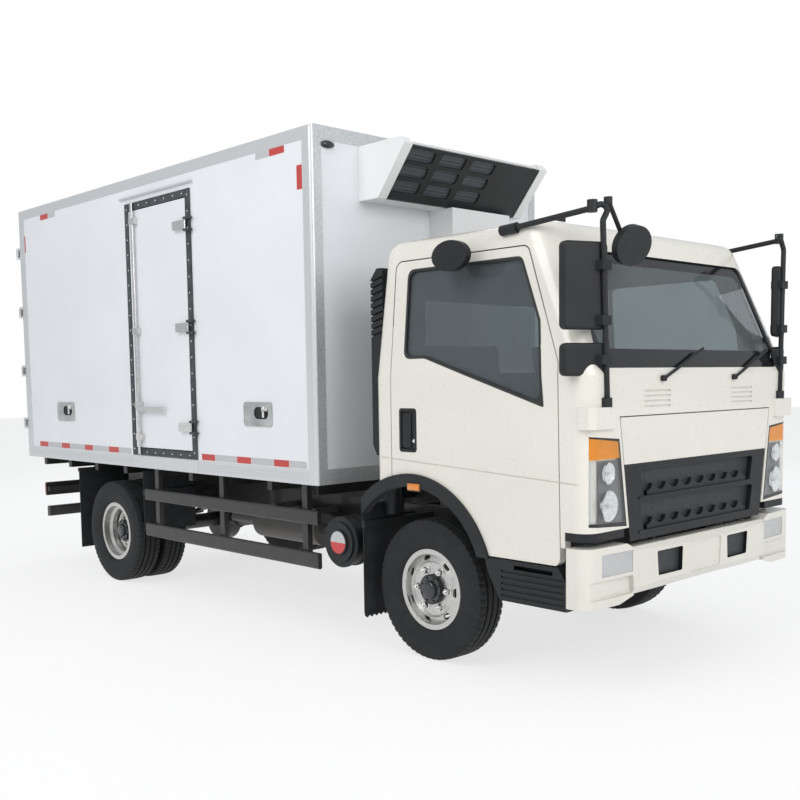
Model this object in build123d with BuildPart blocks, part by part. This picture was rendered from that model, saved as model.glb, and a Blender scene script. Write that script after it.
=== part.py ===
from build123d import *
import math
import os

# Light refrigerated truck: tilting cab, twin rear wheels and an insulated box.
# Millimetres. +X forward, +Y to the truck's left, +Z up.
# The origin is on the ground, below the middle of the overall size.

os.makedirs("parts", exist_ok=True)

# Overall layout
overall_length = 5995.0
front_overhang = 1130.0
wheelbase = 3360.0
front_x = overall_length / 2
rear_x = -overall_length / 2
front_axle_x = front_x - front_overhang
rear_axle_x = front_axle_x - wheelbase
door_gap = 6.0
seat_gap = 0.3
running_gap = 0.5

# Tyres and wheels
tyre_radius = 389.0
tyre_width = 196.0
bead_radius = 204.0
hand_holes = 7
hand_hole_circle = 172.5
hand_hole_length = 50.0
hand_hole_width = 28.0
hand_hole_reach = 34.0
tyre_sides = 36
crown_drop = 3.0
flange_radius = 222.0
rim_width = 150.0
axle_z = tyre_radius
front_wheel_y = 842.0
rear_outer_y = 920.0
rear_inner_y = 694.0
hub_bore_radius = 82.0
stud_circle = 222.25
kingpin_y = 700.0
kingpin_radius = 14.0
steer_arm = 150.0

# Ladder frame
rail_outer_y = 425.0
rail_width = 70.0
rail_low_z = 560.0
rail_top_z = 760.0
rail_web = 9.0
rail_front_x = 2870.0
rail_rear_x = -2950.0
bearer_height = 150.0
tow_hole_x = -2968.0
tow_hole_radius = 13.0
tow_plate_z = 688.0
tow_plate_thickness = 24.0

# Insulated box
box_front_x = 1042.0
box_rear_x = -2970.0
box_half_width = 1025.0
box_low_z = rail_top_z + bearer_height
box_top_z = 3011.0
wall = 80.0
edge = 80.0
edge_proud = 4.0
rail_round = 22.0
rear_frame_depth = 110.0
low_rail_height = 92.0
floor_thickness = 80.0

# Box doors
side_front_x = -249.0
side_rear_x = -1120.0
side_low_z = 1005.0
side_top_z = 2826.0
gasket_width = 58.0
leaf_thickness = 70.0
side_hinge_proud = 28.0
rear_door_thickness = 70.0
rear_door_recess = 25.0
rear_hinge_out = 15.0
rear_middle_gap = 16.0
lock_rod_radius = 12.0

# Cab
cab_rear_x = 1510.0
cab_nose_x = 2965.0
cab_half_width = 985.0
cab_low_z = 640.0
cab_waist_z = 1540.0
cab_top_z = 2290.0
screen_slope = 21.0
side_lean = 70.0
nose_radius = 85.0
roof_nose_radius = 170.0
tail_radius = 60.0
tail_top_radius = 125.0
roof_radius = 105.0
cab_wall = 45.0
arch_x = 1802.0
arch_z = 434.0
arch_radius = 590.0
flare_width = 70.0
flare_proud = 16.0
tilt_x = 2915.0
tilt_z = 640.0
tilt_pin = 12.0
tilt_boss = 24.0

# Cab door
door_rear_x = 1650.0
door_front_x = 2801.0
door_low_z = 635.0
door_top_z = 2165.0

# Front bumper
bumper_half_width = 1006.0
bumper_top_z = 710.0
bumper_low_z = 477.0
bumper_wall = 30.0
bumper_crown = 26.0
bumper_corner = 70.0
bumper_corner_top_z = 736.0
bumper_corner_low_z = 448.0
shoulder_inner = 650.0
shoulder_outer = 705.0
bumper_wrap_x = 2852.0
fog_inner_y = 655.0
fog_outer_y = 895.0
fog_low_z = 595.0
fog_top_z = 700.0


def block(x_span, y_span, z_span, mode=Mode.ADD):
    """A rectangular block between three pairs of limits."""
    middle = [(span[0] + span[1]) / 2 for span in (x_span, y_span, z_span)]
    size = [abs(span[1] - span[0]) for span in (x_span, y_span, z_span)]
    with Locations(tuple(middle)):
        Box(*size, mode=mode)


def rod(start, end, radius, mode=Mode.ADD):
    """A round bar from one point to another."""
    start_point = Vector(*start)
    run = Vector(*end) - start_point
    with Locations(Plane(origin=start_point + run * 0.5, z_dir=run)):
        Cylinder(radius, run.length, mode=mode)


def bent_tube(points, bend, radius):
    """A round tube along straight runs that are joined by bends."""
    with BuildLine() as path:
        FilletPolyline(*points, radius=bend)
    with BuildSketch(Plane(origin=path.line @ 0, z_dir=path.line % 0)) as ring:
        Circle(radius)
    sweep(ring.sketch, path=path.line)


def side_sheet(points, y_span, mode=Mode.ADD, rounding=0.0):
    """A sheet cut to an outline seen from the side, between two places across the truck."""
    low, high = sorted(y_span)
    with BuildSketch(Plane.XZ.offset(-high)) as sheet:
        with BuildLine():
            Polyline(*points, close=True)
        make_face()
        if rounding > 0.0:
            fillet(sheet.vertices(), rounding)
    extrude(sheet.sketch, amount=high - low, mode=mode)


def front_sheet(points, x_span, mode=Mode.ADD, rounding=0.0):
    """A sheet cut to an outline seen from the front, between two places along the truck."""
    low, high = sorted(x_span)
    with BuildSketch(Plane.YZ.offset(low)) as sheet:
        with BuildLine():
            Polyline(*points, close=True)
        make_face()
        if rounding > 0.0:
            fillet(sheet.vertices(), rounding)
    extrude(sheet.sketch, amount=high - low, mode=mode)


def save(piece, name):
    """Label a finished piece and write its file."""
    piece.label = name
    export_step(piece, f"parts/{name}.step")


def wheel_plane(x, y):
    """The plane of a wheel's cross-section: local x along the axle, local y outwards."""
    return Plane(origin=(x, y, axle_z), x_dir=(0, 1, 0), z_dir=(1, 0, 0))


def wheel_axis(x):
    return Axis((x, 0, axle_z), (0, 1, 0))


# Tyres: many-sided rings, lofted through the widths of the carcass
def tyre_ring(x, y):
    half = tyre_width / 2
    bead = rim_width / 2 - 10.5
    profile = [
        (-bead, flange_radius + 1),
        (-half * 0.9, flange_radius + 14),
        (-half, tyre_radius - 92),
        (-half * 0.91, tyre_radius - 26),
        (-half * 0.68, tyre_radius - crown_drop),
        (0, tyre_radius),
        (half * 0.68, tyre_radius - crown_drop),
        (half * 0.91, tyre_radius - 26),
        (half, tyre_radius - 92),
        (half * 0.9, flange_radius + 14),
        (bead, flange_radius + 1),
    ]
    rings = []
    for along, radius in profile:
        place = Plane(origin=(x, y + along, axle_z), x_dir=(0, 0, -1), z_dir=(0, 1, 0))
        with BuildSketch(place) as ring:
            RegularPolygon(radius, tyre_sides)
        rings.append(ring.sketch)
    loft(rings, ruled=True)
    with Locations(Plane(origin=(x, y, axle_z), x_dir=(0, 0, -1), z_dir=(0, 1, 0))):
        Cylinder(bead_radius, tyre_width + 20, mode=Mode.SUBTRACT)


# Pressed steel wheel: a well, two flanges and a disc with hand holes
def wheel_disc(x, y, out, disc_offset, dish):
    """out is +1 where the wheel's outside faces +Y; disc_offset is the hub face's place."""
    half = rim_width / 2
    shell = 9.0
    well = bead_radius - 26
    seat = bead_radius - 0.3
    ring_in = well - shell
    face = disc_offset
    back = face - 12
    crown = face + dish
    with BuildSketch(wheel_plane(x, y)) as section:
        with BuildLine():
            Polyline(
                (-out * half, flange_radius),
                (-out * (half - 10), flange_radius),
                (-out * (half - 10), seat),
                (-out * (half - 52), seat),
                (-out * (half - 64), well),
                (out * (half - 64), well),
                (out * (half - 52), seat),
                (out * (half - 10), seat),
                (out * (half - 10), flange_radius),
                (out * half, flange_radius),
                (out * half, seat - shell),
                (out * (half - 46), seat - shell),
                (out * (half - 58), ring_in),
                (-out * (half - 58), ring_in),
                (-out * (half - 46), seat - shell),
                (-out * half, seat - shell),
                close=True,
            )
        make_face()
    revolve(section.sketch, axis=wheel_axis(x))
    with BuildSketch(wheel_plane(x, y)) as section:
        with BuildLine():
            Polyline(
                (out * back, hub_bore_radius),
                (out * back, 140),
                (out * (crown - 12), 152),
                (out * (crown - 30), seat - shell + 2),
                (out * (crown - 18), seat - shell + 2),
                (out * crown, 156),
                (out * face, 144),
                (out * face, hub_bore_radius),
                close=True,
            )
        make_face()
    revolve(section.sketch, axis=wheel_axis(x))
    hole_face = Plane(origin=(x, y + out * (crown + 1), axle_z), z_dir=(0, out, 0), x_dir=(1, 0, 0))
    with BuildSketch(hole_face) as holes:
        with PolarLocations(hand_hole_circle, hand_holes):
            SlotOverall(hand_hole_length, hand_hole_width, rotation=90)
    extrude(holes.sketch, amount=-hand_hole_reach, mode=Mode.SUBTRACT)
    nut_face = Plane(origin=(x, y + out * (face - 4), axle_z), z_dir=(0, out, 0), x_dir=(1, 0, 0))
    with BuildSketch(nut_face) as nuts:
        with PolarLocations(stud_circle / 2, 6):
            RegularPolygon(17, 6)
    extrude(nuts.sketch, amount=26)


front_disc = 52.0
rear_disc = -36.0
with BuildPart() as tyre_front_right:
    tyre_ring(front_axle_x, -front_wheel_y)
save(tyre_front_right.part, "tyre_front_right")
with BuildPart() as tyre_front_left:
    tyre_ring(front_axle_x, front_wheel_y)
save(tyre_front_left.part, "tyre_front_left")
with BuildPart() as tyres_rear_right:
    tyre_ring(rear_axle_x, -rear_outer_y)
    tyre_ring(rear_axle_x, -rear_inner_y)
save(tyres_rear_right.part, "tyres_rear_right")
with BuildPart() as tyres_rear_left:
    tyre_ring(rear_axle_x, rear_outer_y)
    tyre_ring(rear_axle_x, rear_inner_y)
save(tyres_rear_left.part, "tyres_rear_left")


stub_radius = 30.0
spindle_radius = 42.0


def front_wheel(out):
    hub_y = front_wheel_y + front_disc
    wheel_disc(front_axle_x, out * front_wheel_y, out, front_disc, 14)
    rod(
        (front_axle_x, out * (hub_y - 60), axle_z),
        (front_axle_x, out * (hub_y + 22), axle_z),
        hub_bore_radius,
    )
    rod(
        (front_axle_x, out * (hub_y - 125), axle_z),
        (front_axle_x, out * (hub_y - 12), axle_z),
        155,
    )
    rod(
        (front_axle_x, out * (hub_y - 130), axle_z),
        (front_axle_x, out * (hub_y - 10), axle_z),
        stub_radius + running_gap,
        Mode.SUBTRACT,
    )


def rear_wheels(out):
    hub_y = rear_outer_y + rear_disc
    wheel_disc(rear_axle_x, out * rear_outer_y, out, rear_disc, 8)
    wheel_disc(rear_axle_x, out * rear_inner_y, -out, rear_disc, 8)
    rod(
        (rear_axle_x, out * (rear_inner_y - rear_disc - 150), axle_z),
        (rear_axle_x, out * (rear_inner_y - rear_disc), axle_z),
        155,
    )
    rod(
        (rear_axle_x, out * (rear_inner_y - rear_disc - 2), axle_z),
        (rear_axle_x, out * (hub_y + 55), axle_z),
        hub_bore_radius,
    )
    rod(
        (rear_axle_x, out * (rear_inner_y - rear_disc - 2), axle_z),
        (rear_axle_x, out * (hub_y - 6), axle_z),
        138,
    )
    rod(
        (rear_axle_x, out * (rear_inner_y - rear_disc - 155), axle_z),
        (rear_axle_x, out * (hub_y + 10), axle_z),
        spindle_radius + running_gap,
        Mode.SUBTRACT,
    )


with BuildPart() as rim_front_right:
    front_wheel(-1)
save(rim_front_right.part, "rim_front_right")
with BuildPart() as rim_front_left:
    front_wheel(1)
save(rim_front_left.part, "rim_front_left")
with BuildPart() as rims_rear_right:
    rear_wheels(-1)
save(rims_rear_right.part, "rims_rear_right")
with BuildPart() as rims_rear_left:
    rear_wheels(1)
save(rims_rear_left.part, "rims_rear_left")

# Front axle: a dropped beam with a spring under each rail
spring_y = rail_outer_y - rail_width / 2
beam_z = axle_z - 34
front_spring_half = 560.0
rear_spring_half = 600.0
rear_spring_y = rail_outer_y + 60
leaf = 12.5
leaf_pitch = 12.0
leaf_step = 0.17


def leaf_pack(axle_x, y, half, seat_z, eye_z, width, leaves):
    """Leaves of falling length between an arched top leaf and the axle's seat."""
    sag = eye_z - seat_z
    for number in range(leaves):
        reach = half * (1 - leaf_step * number)
        ends = sag * (reach / half) ** 2
        base = seat_z + leaf_pitch * (leaves - 1 - number)
        with BuildSketch(Plane.XZ.offset(-(y + width / 2))) as strip:
            with BuildLine():
                ThreePointArc(
                    (axle_x - reach, base + ends),
                    (axle_x, base),
                    (axle_x + reach, base + ends),
                )
                Line((axle_x + reach, base + ends), (axle_x + reach, base + ends + leaf))
                ThreePointArc(
                    (axle_x + reach, base + ends + leaf),
                    (axle_x, base + leaf),
                    (axle_x - reach, base + ends + leaf),
                )
                Line((axle_x - reach, base + ends + leaf), (axle_x - reach, base + ends))
            make_face()
        extrude(strip.sketch, amount=width)


def spring_hangers(axle_x, y, half, eye_z, width, top_z):
    for end in (-1, 1):
        x = axle_x + end * half
        rod((x, y - width / 2 - 14, eye_z), (x, y + width / 2 + 14, eye_z), 16)
        for cheek in (-1, 1):
            cheek_y = y + cheek * (width / 2 + 8)
            block((x - 26, x + 26), (cheek_y - 6, cheek_y + 6), (eye_z - 8, top_z))


with BuildPart() as front_axle:
    with BuildSketch(Plane.YZ.offset(front_axle_x - 30)):
        with BuildLine():
            Polyline(
                (-kingpin_y, axle_z + 46),
                (-kingpin_y + 34, axle_z + 46),
                (-kingpin_y + 110, beam_z + 6),
                (kingpin_y - 110, beam_z + 6),
                (kingpin_y - 34, axle_z + 46),
                (kingpin_y, axle_z + 46),
                (kingpin_y, axle_z - 46),
                (kingpin_y - 60, axle_z - 46),
                (kingpin_y - 130, beam_z - 74),
                (-kingpin_y + 130, beam_z - 74),
                (-kingpin_y + 60, axle_z - 46),
                (-kingpin_y, axle_z - 46),
                close=True,
            )
        make_face()
    extrude(amount=60)
    for side in (-1, 1):
        rod(
            (front_axle_x, side * kingpin_y, axle_z - 46),
            (front_axle_x, side * kingpin_y, axle_z + 46),
            30,
        )
        rod(
            (front_axle_x, side * kingpin_y, axle_z - 88),
            (front_axle_x, side * kingpin_y, axle_z + 88),
            kingpin_radius,
        )
        leaf_pack(front_axle_x, side * spring_y, front_spring_half, beam_z + 5, 500, 64, 4)
        spring_hangers(front_axle_x, side * spring_y, front_spring_half, 542, 64, rail_low_z - seat_gap)
        block(
            (front_axle_x - 60, front_axle_x + 60),
            (side * spring_y - 40, side * spring_y + 40),
            (beam_z + 52, beam_z + 66),
        )
save(front_axle.part, "front_axle")


# Steering knuckles turn on the kingpins; each carries its stub axle and a steering arm
def knuckle(side):
    y = side * kingpin_y
    for end in (-1, 1):
        block(
            (front_axle_x - 32, front_axle_x + 32),
            (y - 30, y + 30),
            (axle_z + end * 62 - 15, axle_z + end * 62 + 15),
        )
    block(
        (front_axle_x - 32, front_axle_x + 32),
        (y + side * 36, y + side * 56),
        (axle_z - 77, axle_z + 77),
    )
    for end in (-1, 1):
        block(
            (front_axle_x - 32, front_axle_x + 32),
            (y + side * 20, y + side * 56),
            (axle_z + end * 62 - 15, axle_z + end * 62 + 15),
        )
    block(
        (front_axle_x - steer_arm - 18, front_axle_x - 20),
        (y - 15, y + 15),
        (axle_z - 77, axle_z - 50),
    )
    rod(
        (front_axle_x, y + side * 40, axle_z),
        (front_axle_x, side * (front_wheel_y + front_disc - 14), axle_z),
        stub_radius,
    )
    rod(
        (front_axle_x, y, axle_z - 100),
        (front_axle_x, y, axle_z + 100),
        kingpin_radius + running_gap,
        Mode.SUBTRACT,
    )


with BuildPart() as knuckle_right:
    knuckle(-1)
save(knuckle_right.part, "knuckle_right")
with BuildPart() as knuckle_left:
    knuckle(1)
save(knuckle_left.part, "knuckle_left")

tie_rod_z = axle_z - 77 - 19 - seat_gap
with BuildPart() as tie_rod:
    tie_x = front_axle_x - steer_arm
    rod((tie_x, -kingpin_y, tie_rod_z), (tie_x, kingpin_y, tie_rod_z), 13)
    for side in (-1, 1):
        rod((tie_x, side * kingpin_y, tie_rod_z - 19), (tie_x, side * kingpin_y, tie_rod_z + 19), 20)
save(tie_rod.part, "tie_rod")

# Rear axle: a housing with its bowl and a spring under each rail
with BuildPart() as rear_axle:
    housing_end = rear_inner_y - rear_disc - 150 - 4
    rod((rear_axle_x, -housing_end, axle_z), (rear_axle_x, housing_end, axle_z), 58)
    spindle_end = rear_outer_y + rear_disc + 4
    rod((rear_axle_x, -spindle_end, axle_z), (rear_axle_x, spindle_end, axle_z), spindle_radius)
    with BuildSketch(Plane.XZ.offset(75)):
        with Locations((rear_axle_x, axle_z)):
            Circle(175)
    extrude(amount=-150)
    fillet(rear_axle.edges().filter_by(GeomType.CIRCLE).group_by(SortBy.RADIUS)[-1], 40)
    rod((rear_axle_x, 0, axle_z), (rear_axle_x + 235, 0, axle_z), 62)
    for side in (-1, 1):
        rear_seat = axle_z + 52
        leaf_pack(rear_axle_x, side * rear_spring_y, rear_spring_half, rear_seat, 560, 66, 5)
        spring_hangers(rear_axle_x, side * rear_spring_y, rear_spring_half, 566, 66, 640)
        for end in (-1, 1):
            x = rear_axle_x + end * rear_spring_half
            block(
                (x - 26, x + 26),
                (side * (rail_outer_y + seat_gap), side * (rear_spring_y + 20)),
                (600, 660),
            )
        block(
            (rear_axle_x - 70, rear_axle_x + 70),
            (side * rear_spring_y - 42, side * rear_spring_y + 42),
            (rear_seat + 58, rear_seat + 74),
        )
save(rear_axle.part, "rear_axle")

# Ladder frame with cross members, box bearers and the cab's tilt brackets
with BuildPart() as chassis_frame:
    for side in (-1, 1):
        web = (side * (rail_outer_y - rail_web), side * rail_outer_y)
        flange = (side * (rail_outer_y - rail_width), side * rail_outer_y)
        block((rail_rear_x, rail_front_x), web, (rail_low_z, rail_top_z))
        block((rail_rear_x, rail_front_x), flange, (rail_low_z, rail_low_z + rail_web))
        block((rail_rear_x, rail_front_x), flange, (rail_top_z - rail_web, rail_top_z))
        block(
            (box_rear_x + 20, box_front_x - 20),
            (side * (rail_outer_y - rail_width), side * rail_outer_y),
            (rail_top_z, rail_top_z + 80),
        )
    inner = rail_outer_y - rail_web + 1
    for x in (rail_rear_x + 40, -2300, -1100, -400, 350, 1120, rail_front_x - 160):
        block((x - 40, x + 40), (-inner, inner), (rail_low_z + 104, rail_top_z - 20))
    bearers = 9
    first_bearer_x = box_rear_x + rear_frame_depth + 45
    span = box_front_x - edge - 45 - first_bearer_x
    for number in range(bearers):
        x = first_bearer_x + span * number / (bearers - 1)
        block(
            (x - 25, x + 25),
            (-box_half_width + edge + 5, box_half_width - edge - 5),
            (rail_top_z + 79, box_low_z + 8 - seat_gap),
        )
    for side in (-1, 1):
        block(
            (tilt_x - 90, tilt_x + 20),
            (side * 300, side * rail_outer_y),
            (rail_low_z, rail_low_z + 46),
        )
        ear_y = (side * 300, side * 326)
        block((tilt_x - 20, tilt_x + 20), ear_y, (rail_low_z + 40, tilt_z))
        rod((tilt_x, ear_y[0], tilt_z), (tilt_x, ear_y[1], tilt_z), tilt_boss)
        rod((tilt_x, ear_y[0], tilt_z), (tilt_x, side * 353, tilt_z), tilt_pin)
    block((tow_hole_x - 24, rail_rear_x + 2), (-40, 40), (tow_plate_z, tow_plate_z + tow_plate_thickness))
    rod(
        (tow_hole_x, 0, tow_plate_z - 1),
        (tow_hole_x, 0, tow_plate_z + tow_plate_thickness + 1),
        tow_hole_radius,
        Mode.SUBTRACT,
    )
save(chassis_frame.part, "chassis_frame")

# Engine block, gearbox, radiator and drive shaft
with BuildPart() as driveline:
    block((1560, 2180), (-270, 270), (540, 940))
    block((1200, 1562), (-150, 150), (560, 800))
    rod((1202, 0, 620), (rear_axle_x + 240, 0, axle_z + 4), 42)
    for side in (-1, 1):
        block((1800, 1880), (side * 265, side * (rail_outer_y - rail_web - seat_gap)), (600, 640))
    block((2245, 2300), (-330, 330), (600, 940))
    block((2178, 2247), (-200, 200), (640, 900))
save(driveline.part, "driveline")

# Fuel tank on the left, battery box and air cleaner
with BuildPart() as fuel_tank:
    with BuildSketch(Plane.YZ.offset(-820)):
        with Locations((690, 560)):
            RectangleRounded(440, 400, 70)
    extrude(amount=820)
    for x in (-700, -120):
        block((x - 25, x + 25), (rail_outer_y + seat_gap, 480), (480, 720))
save(fuel_tank.part, "fuel_tank")

with BuildPart() as battery_box:
    block((60, 640), (rail_outer_y + 12, 860), (430, 740))
    block((100, 600), (rail_outer_y + seat_gap, rail_outer_y + 14), (580, 730))
save(battery_box.part, "battery_box")

cleaner_x = 1190.0
cleaner_z = 585.0
cleaner_radius = 150.0
with BuildPart() as air_cleaner:
    rod((cleaner_x, -560, cleaner_z), (cleaner_x, -978, cleaner_z), cleaner_radius - 8)
    for ring_y in (-600, -690, -780, -870, -955):
        rod((cleaner_x, ring_y, cleaner_z), (cleaner_x, ring_y - 22, cleaner_z), cleaner_radius)
    rod((cleaner_x, -970, cleaner_z), (cleaner_x, -990, cleaner_z), cleaner_radius * 0.78)
    rod((cleaner_x, -984, cleaner_z), (cleaner_x, -1000, cleaner_z), cleaner_radius * 0.5)
    block((cleaner_x - 60, cleaner_x + 60), (-562, -rail_outer_y - seat_gap), (590, 720))
save(air_cleaner.part, "air_cleaner")

with BuildPart() as exhaust:
    rod((-50, -620, 560), (620, -620, 560), 105)
    rod((618, -620, 560), (900, -620, 560), 32)
    rod((-48, -620, 560), (-420, -620, 560), 32)
    for x in (60, 500):
        block((x - 20, x + 20), (-625, -rail_outer_y - seat_gap), (655, 690))
save(exhaust.part, "exhaust")

# Side guards: two rails a side on posts
guard_y = 995.0
guard_front_x = 1050.0
guard_rear_x = -1010.0
with BuildPart() as side_guards:
    for side in (-1, 1):
        for low, high in ((668, 755), (403, 501)):
            with BuildSketch(Plane.YZ.offset(guard_rear_x)):
                with Locations((side * guard_y, (low + high) / 2)):
                    RectangleRounded(30, high - low, 12)
            front = guard_front_x if side > 0 else cleaner_x - cleaner_radius - 25
            extrude(amount=front - guard_rear_x)
        post_y = (side * (guard_y - 50), side * (guard_y - 14))
        for x in (-880, -40, 860):
            block((x - 25, x + 25), post_y, (400, box_low_z - seat_gap))
save(side_guards.part, "side_guards")

# Rear underrun bar on two hangers
with BuildPart() as rear_underrun:
    with BuildSketch(Plane.XZ.offset(-880)):
        with Locations((-2930, 414)):
            RectangleRounded(50, 90, 12)
    extrude(amount=1760)
    for side in (-1, 1):
        block(
            (-2955, -2900),
            (side * (rail_outer_y + seat_gap), side * (rail_outer_y + 12)),
            (440, 745),
        )
        block((-2950, -2942), (side * 540, side * 890), (552, 668))
        block((-2945, -2900), (side * (rail_outer_y + 10), side * 880), (590, 630))
save(rear_underrun.part, "rear_underrun")


# Mud flaps before and behind the rear wheels and behind the front wheels
with BuildPart() as mudguards:
    for side in (-1, 1):
        block((-2074, -2068), (side * 560, side * 1000), (200, 838))
        block((-2090, -2062), (side * (rail_outer_y + seat_gap), side * 1000), (820, 850))
        block((-1048, -1042), (side * 560, side * 1000), (430, 880))
        block((-1056, -1030), (side * (rail_outer_y + seat_gap), side * 1000), (700, 735))
        block((1396, 1402), (side * 660, side * 985), (195, 829))
        block((1385, 1412), (side * (rail_outer_y + seat_gap), side * 985), (690, 730))
save(mudguards.part, "mudguards")


# Front bumper: one moulding that wraps the corners
def bumper_outline(inset, z):
    """The bumper's plan: crowned in front, with round corners."""
    half = bumper_half_width - inset
    corner_x = front_x - bumper_crown - inset
    with BuildSketch(Plane.XY.offset(z)) as outline:
        with BuildLine():
            Line((bumper_wrap_x - 400, -half), (corner_x, -half))
            ThreePointArc((corner_x, -half), (front_x - inset, 0), (corner_x, half))
            Line((corner_x, half), (bumper_wrap_x - 400, half))
            Line((bumper_wrap_x - 400, half), (bumper_wrap_x - 400, -half))
        make_face()
        fillet(outline.vertices().group_by(Axis.X)[-1], bumper_corner - inset)
    return outline.sketch


with BuildPart() as front_bumper:
    extrude(bumper_outline(0, bumper_corner_low_z), amount=bumper_corner_top_z - bumper_corner_low_z)
    extrude(
        bumper_outline(bumper_wall, bumper_corner_low_z - 5),
        amount=bumper_top_z - bumper_corner_low_z - 15,
        mode=Mode.SUBTRACT,
    )
    front_sheet(
        [
            (-shoulder_outer, bumper_corner_top_z + 1),
            (-shoulder_inner, bumper_top_z),
            (shoulder_inner, bumper_top_z),
            (shoulder_outer, bumper_corner_top_z + 1),
        ],
        (2000, 3100),
        Mode.SUBTRACT,
    )
    front_sheet(
        [
            (-shoulder_outer - 60, bumper_corner_low_z - 1),
            (-shoulder_inner, bumper_low_z),
            (shoulder_inner, bumper_low_z),
            (shoulder_outer + 60, bumper_corner_low_z - 1),
        ],
        (2000, 3100),
        Mode.SUBTRACT,
    )
    block((2000, bumper_wrap_x), (-1100, 1100), (400, 900), Mode.SUBTRACT)
    block((2000, tilt_x - 10), (-860, 860), (400, 900), Mode.SUBTRACT)
    side_sheet(
        [(front_x - 26, bumper_top_z + 1), (front_x + 1, bumper_top_z + 1), (front_x + 1, bumper_top_z - 32)],
        (-shoulder_inner, shoulder_inner),
        Mode.SUBTRACT,
    )
    side_sheet(
        [
            (front_x - 34, bumper_low_z - 1),
            (front_x + 1, bumper_low_z - 1),
            (front_x + 1, bumper_low_z + 46),
        ],
        (-shoulder_inner, shoulder_inner),
        Mode.SUBTRACT,
    )
    front_sheet(
        [(-150, 520), (150, 520), (160, 676), (-160, 676)],
        (front_x - 8, front_x + 1),
        Mode.SUBTRACT,
        12,
    )
    for side in (-1, 1):
        front_sheet(
            [(side * 228, 545), (side * 440, 545), (side * 452, 668), (side * 222, 668)],
            (front_x - 24, front_x + 1),
            Mode.SUBTRACT,
            10,
        )
        front_sheet(
            [(side * 640, 488), (side * 1100, 488), (side * 1100, 578), (side * 655, 578)],
            (front_x - 34, front_x + 1),
            Mode.SUBTRACT,
            8,
        )
        fog_span = (side * (fog_inner_y - seat_gap), side * (fog_outer_y + seat_gap))
        block((2800, 3100), fog_span, (fog_low_z, fog_top_z), Mode.SUBTRACT)
        block(
            (rail_front_x - 60, front_x - 25),
            (side * (rail_outer_y - 60), side * (rail_outer_y - rail_web - seat_gap)),
            (rail_low_z + 60, rail_low_z + 130),
        )
        block((2000, 2972), (side * 322, side * 356), (600, 750), Mode.SUBTRACT)
save(front_bumper.part, "front_bumper")

# Box: edge rails and posts, walls, roof and floor
panel_low_z = box_low_z + low_rail_height
panel_top_z = box_top_z - edge
rear_hinge_x = box_rear_x - 5
rear_hinge_y = box_half_width + rear_hinge_out
rear_hinge_heights = (2650, 2150, 1650, 1200)
rear_barrel = 8.0
rear_pin = 4.0
door_low_z_rear = box_low_z + low_rail_height
rear_open_half = box_half_width - edge
with BuildPart() as box_frame:
    full = (box_rear_x, box_front_x)
    for side in (-1, 1):
        low, high = sorted((side * (box_half_width - edge), side * box_half_width))
        block(full, (low, high), (box_low_z, box_low_z + low_rail_height))
        block(full, (low, high), (box_top_z - edge, box_top_z))
        block((box_rear_x, box_rear_x + rear_frame_depth), (low, high), (box_low_z, box_top_z))
        block((box_front_x - edge, box_front_x), (low, high), (box_low_z, box_top_z))
    across = (-box_half_width, box_half_width)
    for low, high in ((box_low_z, box_low_z + low_rail_height), (box_top_z - edge, box_top_z)):
        block((box_rear_x, box_rear_x + rear_frame_depth), across, (low, high))
        block((box_front_x - edge, box_front_x), across, (low, high))
    outer = box_frame.edges().filter_by(
        lambda edge: abs(abs(edge.center().Y) - box_half_width) < 1 and edge.center().Z > box_top_z - 1
    )
    corner = box_frame.edges().filter_by(Axis.Z).filter_by(
        lambda edge: abs(abs(edge.center().Y) - box_half_width) < 1
        and abs(abs(edge.center().X - (box_front_x + box_rear_x) / 2) - (box_front_x - box_rear_x) / 2) < 1
    )
    fillet(outer + corner, rail_round)
    for side in (-1, 1):
        for rib_z in (box_low_z + 30, box_low_z + 48, box_low_z + 66):
            block(
                (box_rear_x + rear_frame_depth, box_front_x - edge),
                (side * (box_half_width - 3), side * (box_half_width + 1)),
                (rib_z - 3, rib_z + 3),
                Mode.SUBTRACT,
            )
    block(
        (side_rear_x, side_front_x),
        (-box_half_width - 2, -box_half_width + 4),
        (box_low_z + 4, box_low_z + low_rail_height - 3),
    )
    lip_x = box_rear_x + rear_door_recess + rear_door_thickness + seat_gap
    lip_inner = rear_open_half - 22
    for side in (-1, 1):
        lip_y = (side * lip_inner, side * (rear_open_half + 1))
        block((lip_x, lip_x + 14), lip_y, (panel_low_z - 1, panel_top_z))
    block((lip_x, lip_x + 14), (-rear_open_half, rear_open_half), (panel_top_z - 22, panel_top_z + 1))
    for side in (-1, 1):
        for z in rear_hinge_heights:
            for end in (-1, 1):
                ear = (z + end * 31, z + end * 47)
                rod(
                    (rear_hinge_x, side * rear_hinge_y, ear[0]),
                    (rear_hinge_x, side * rear_hinge_y, ear[1]),
                    rear_barrel,
                )
                block((rear_hinge_x, box_rear_x + 40), (side * box_half_width, side * rear_hinge_y), ear)
            rod(
                (rear_hinge_x, side * rear_hinge_y, z - 40),
                (rear_hinge_x, side * rear_hinge_y, z + 40),
                rear_pin,
            )
save(box_frame.part, "box_frame")

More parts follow.
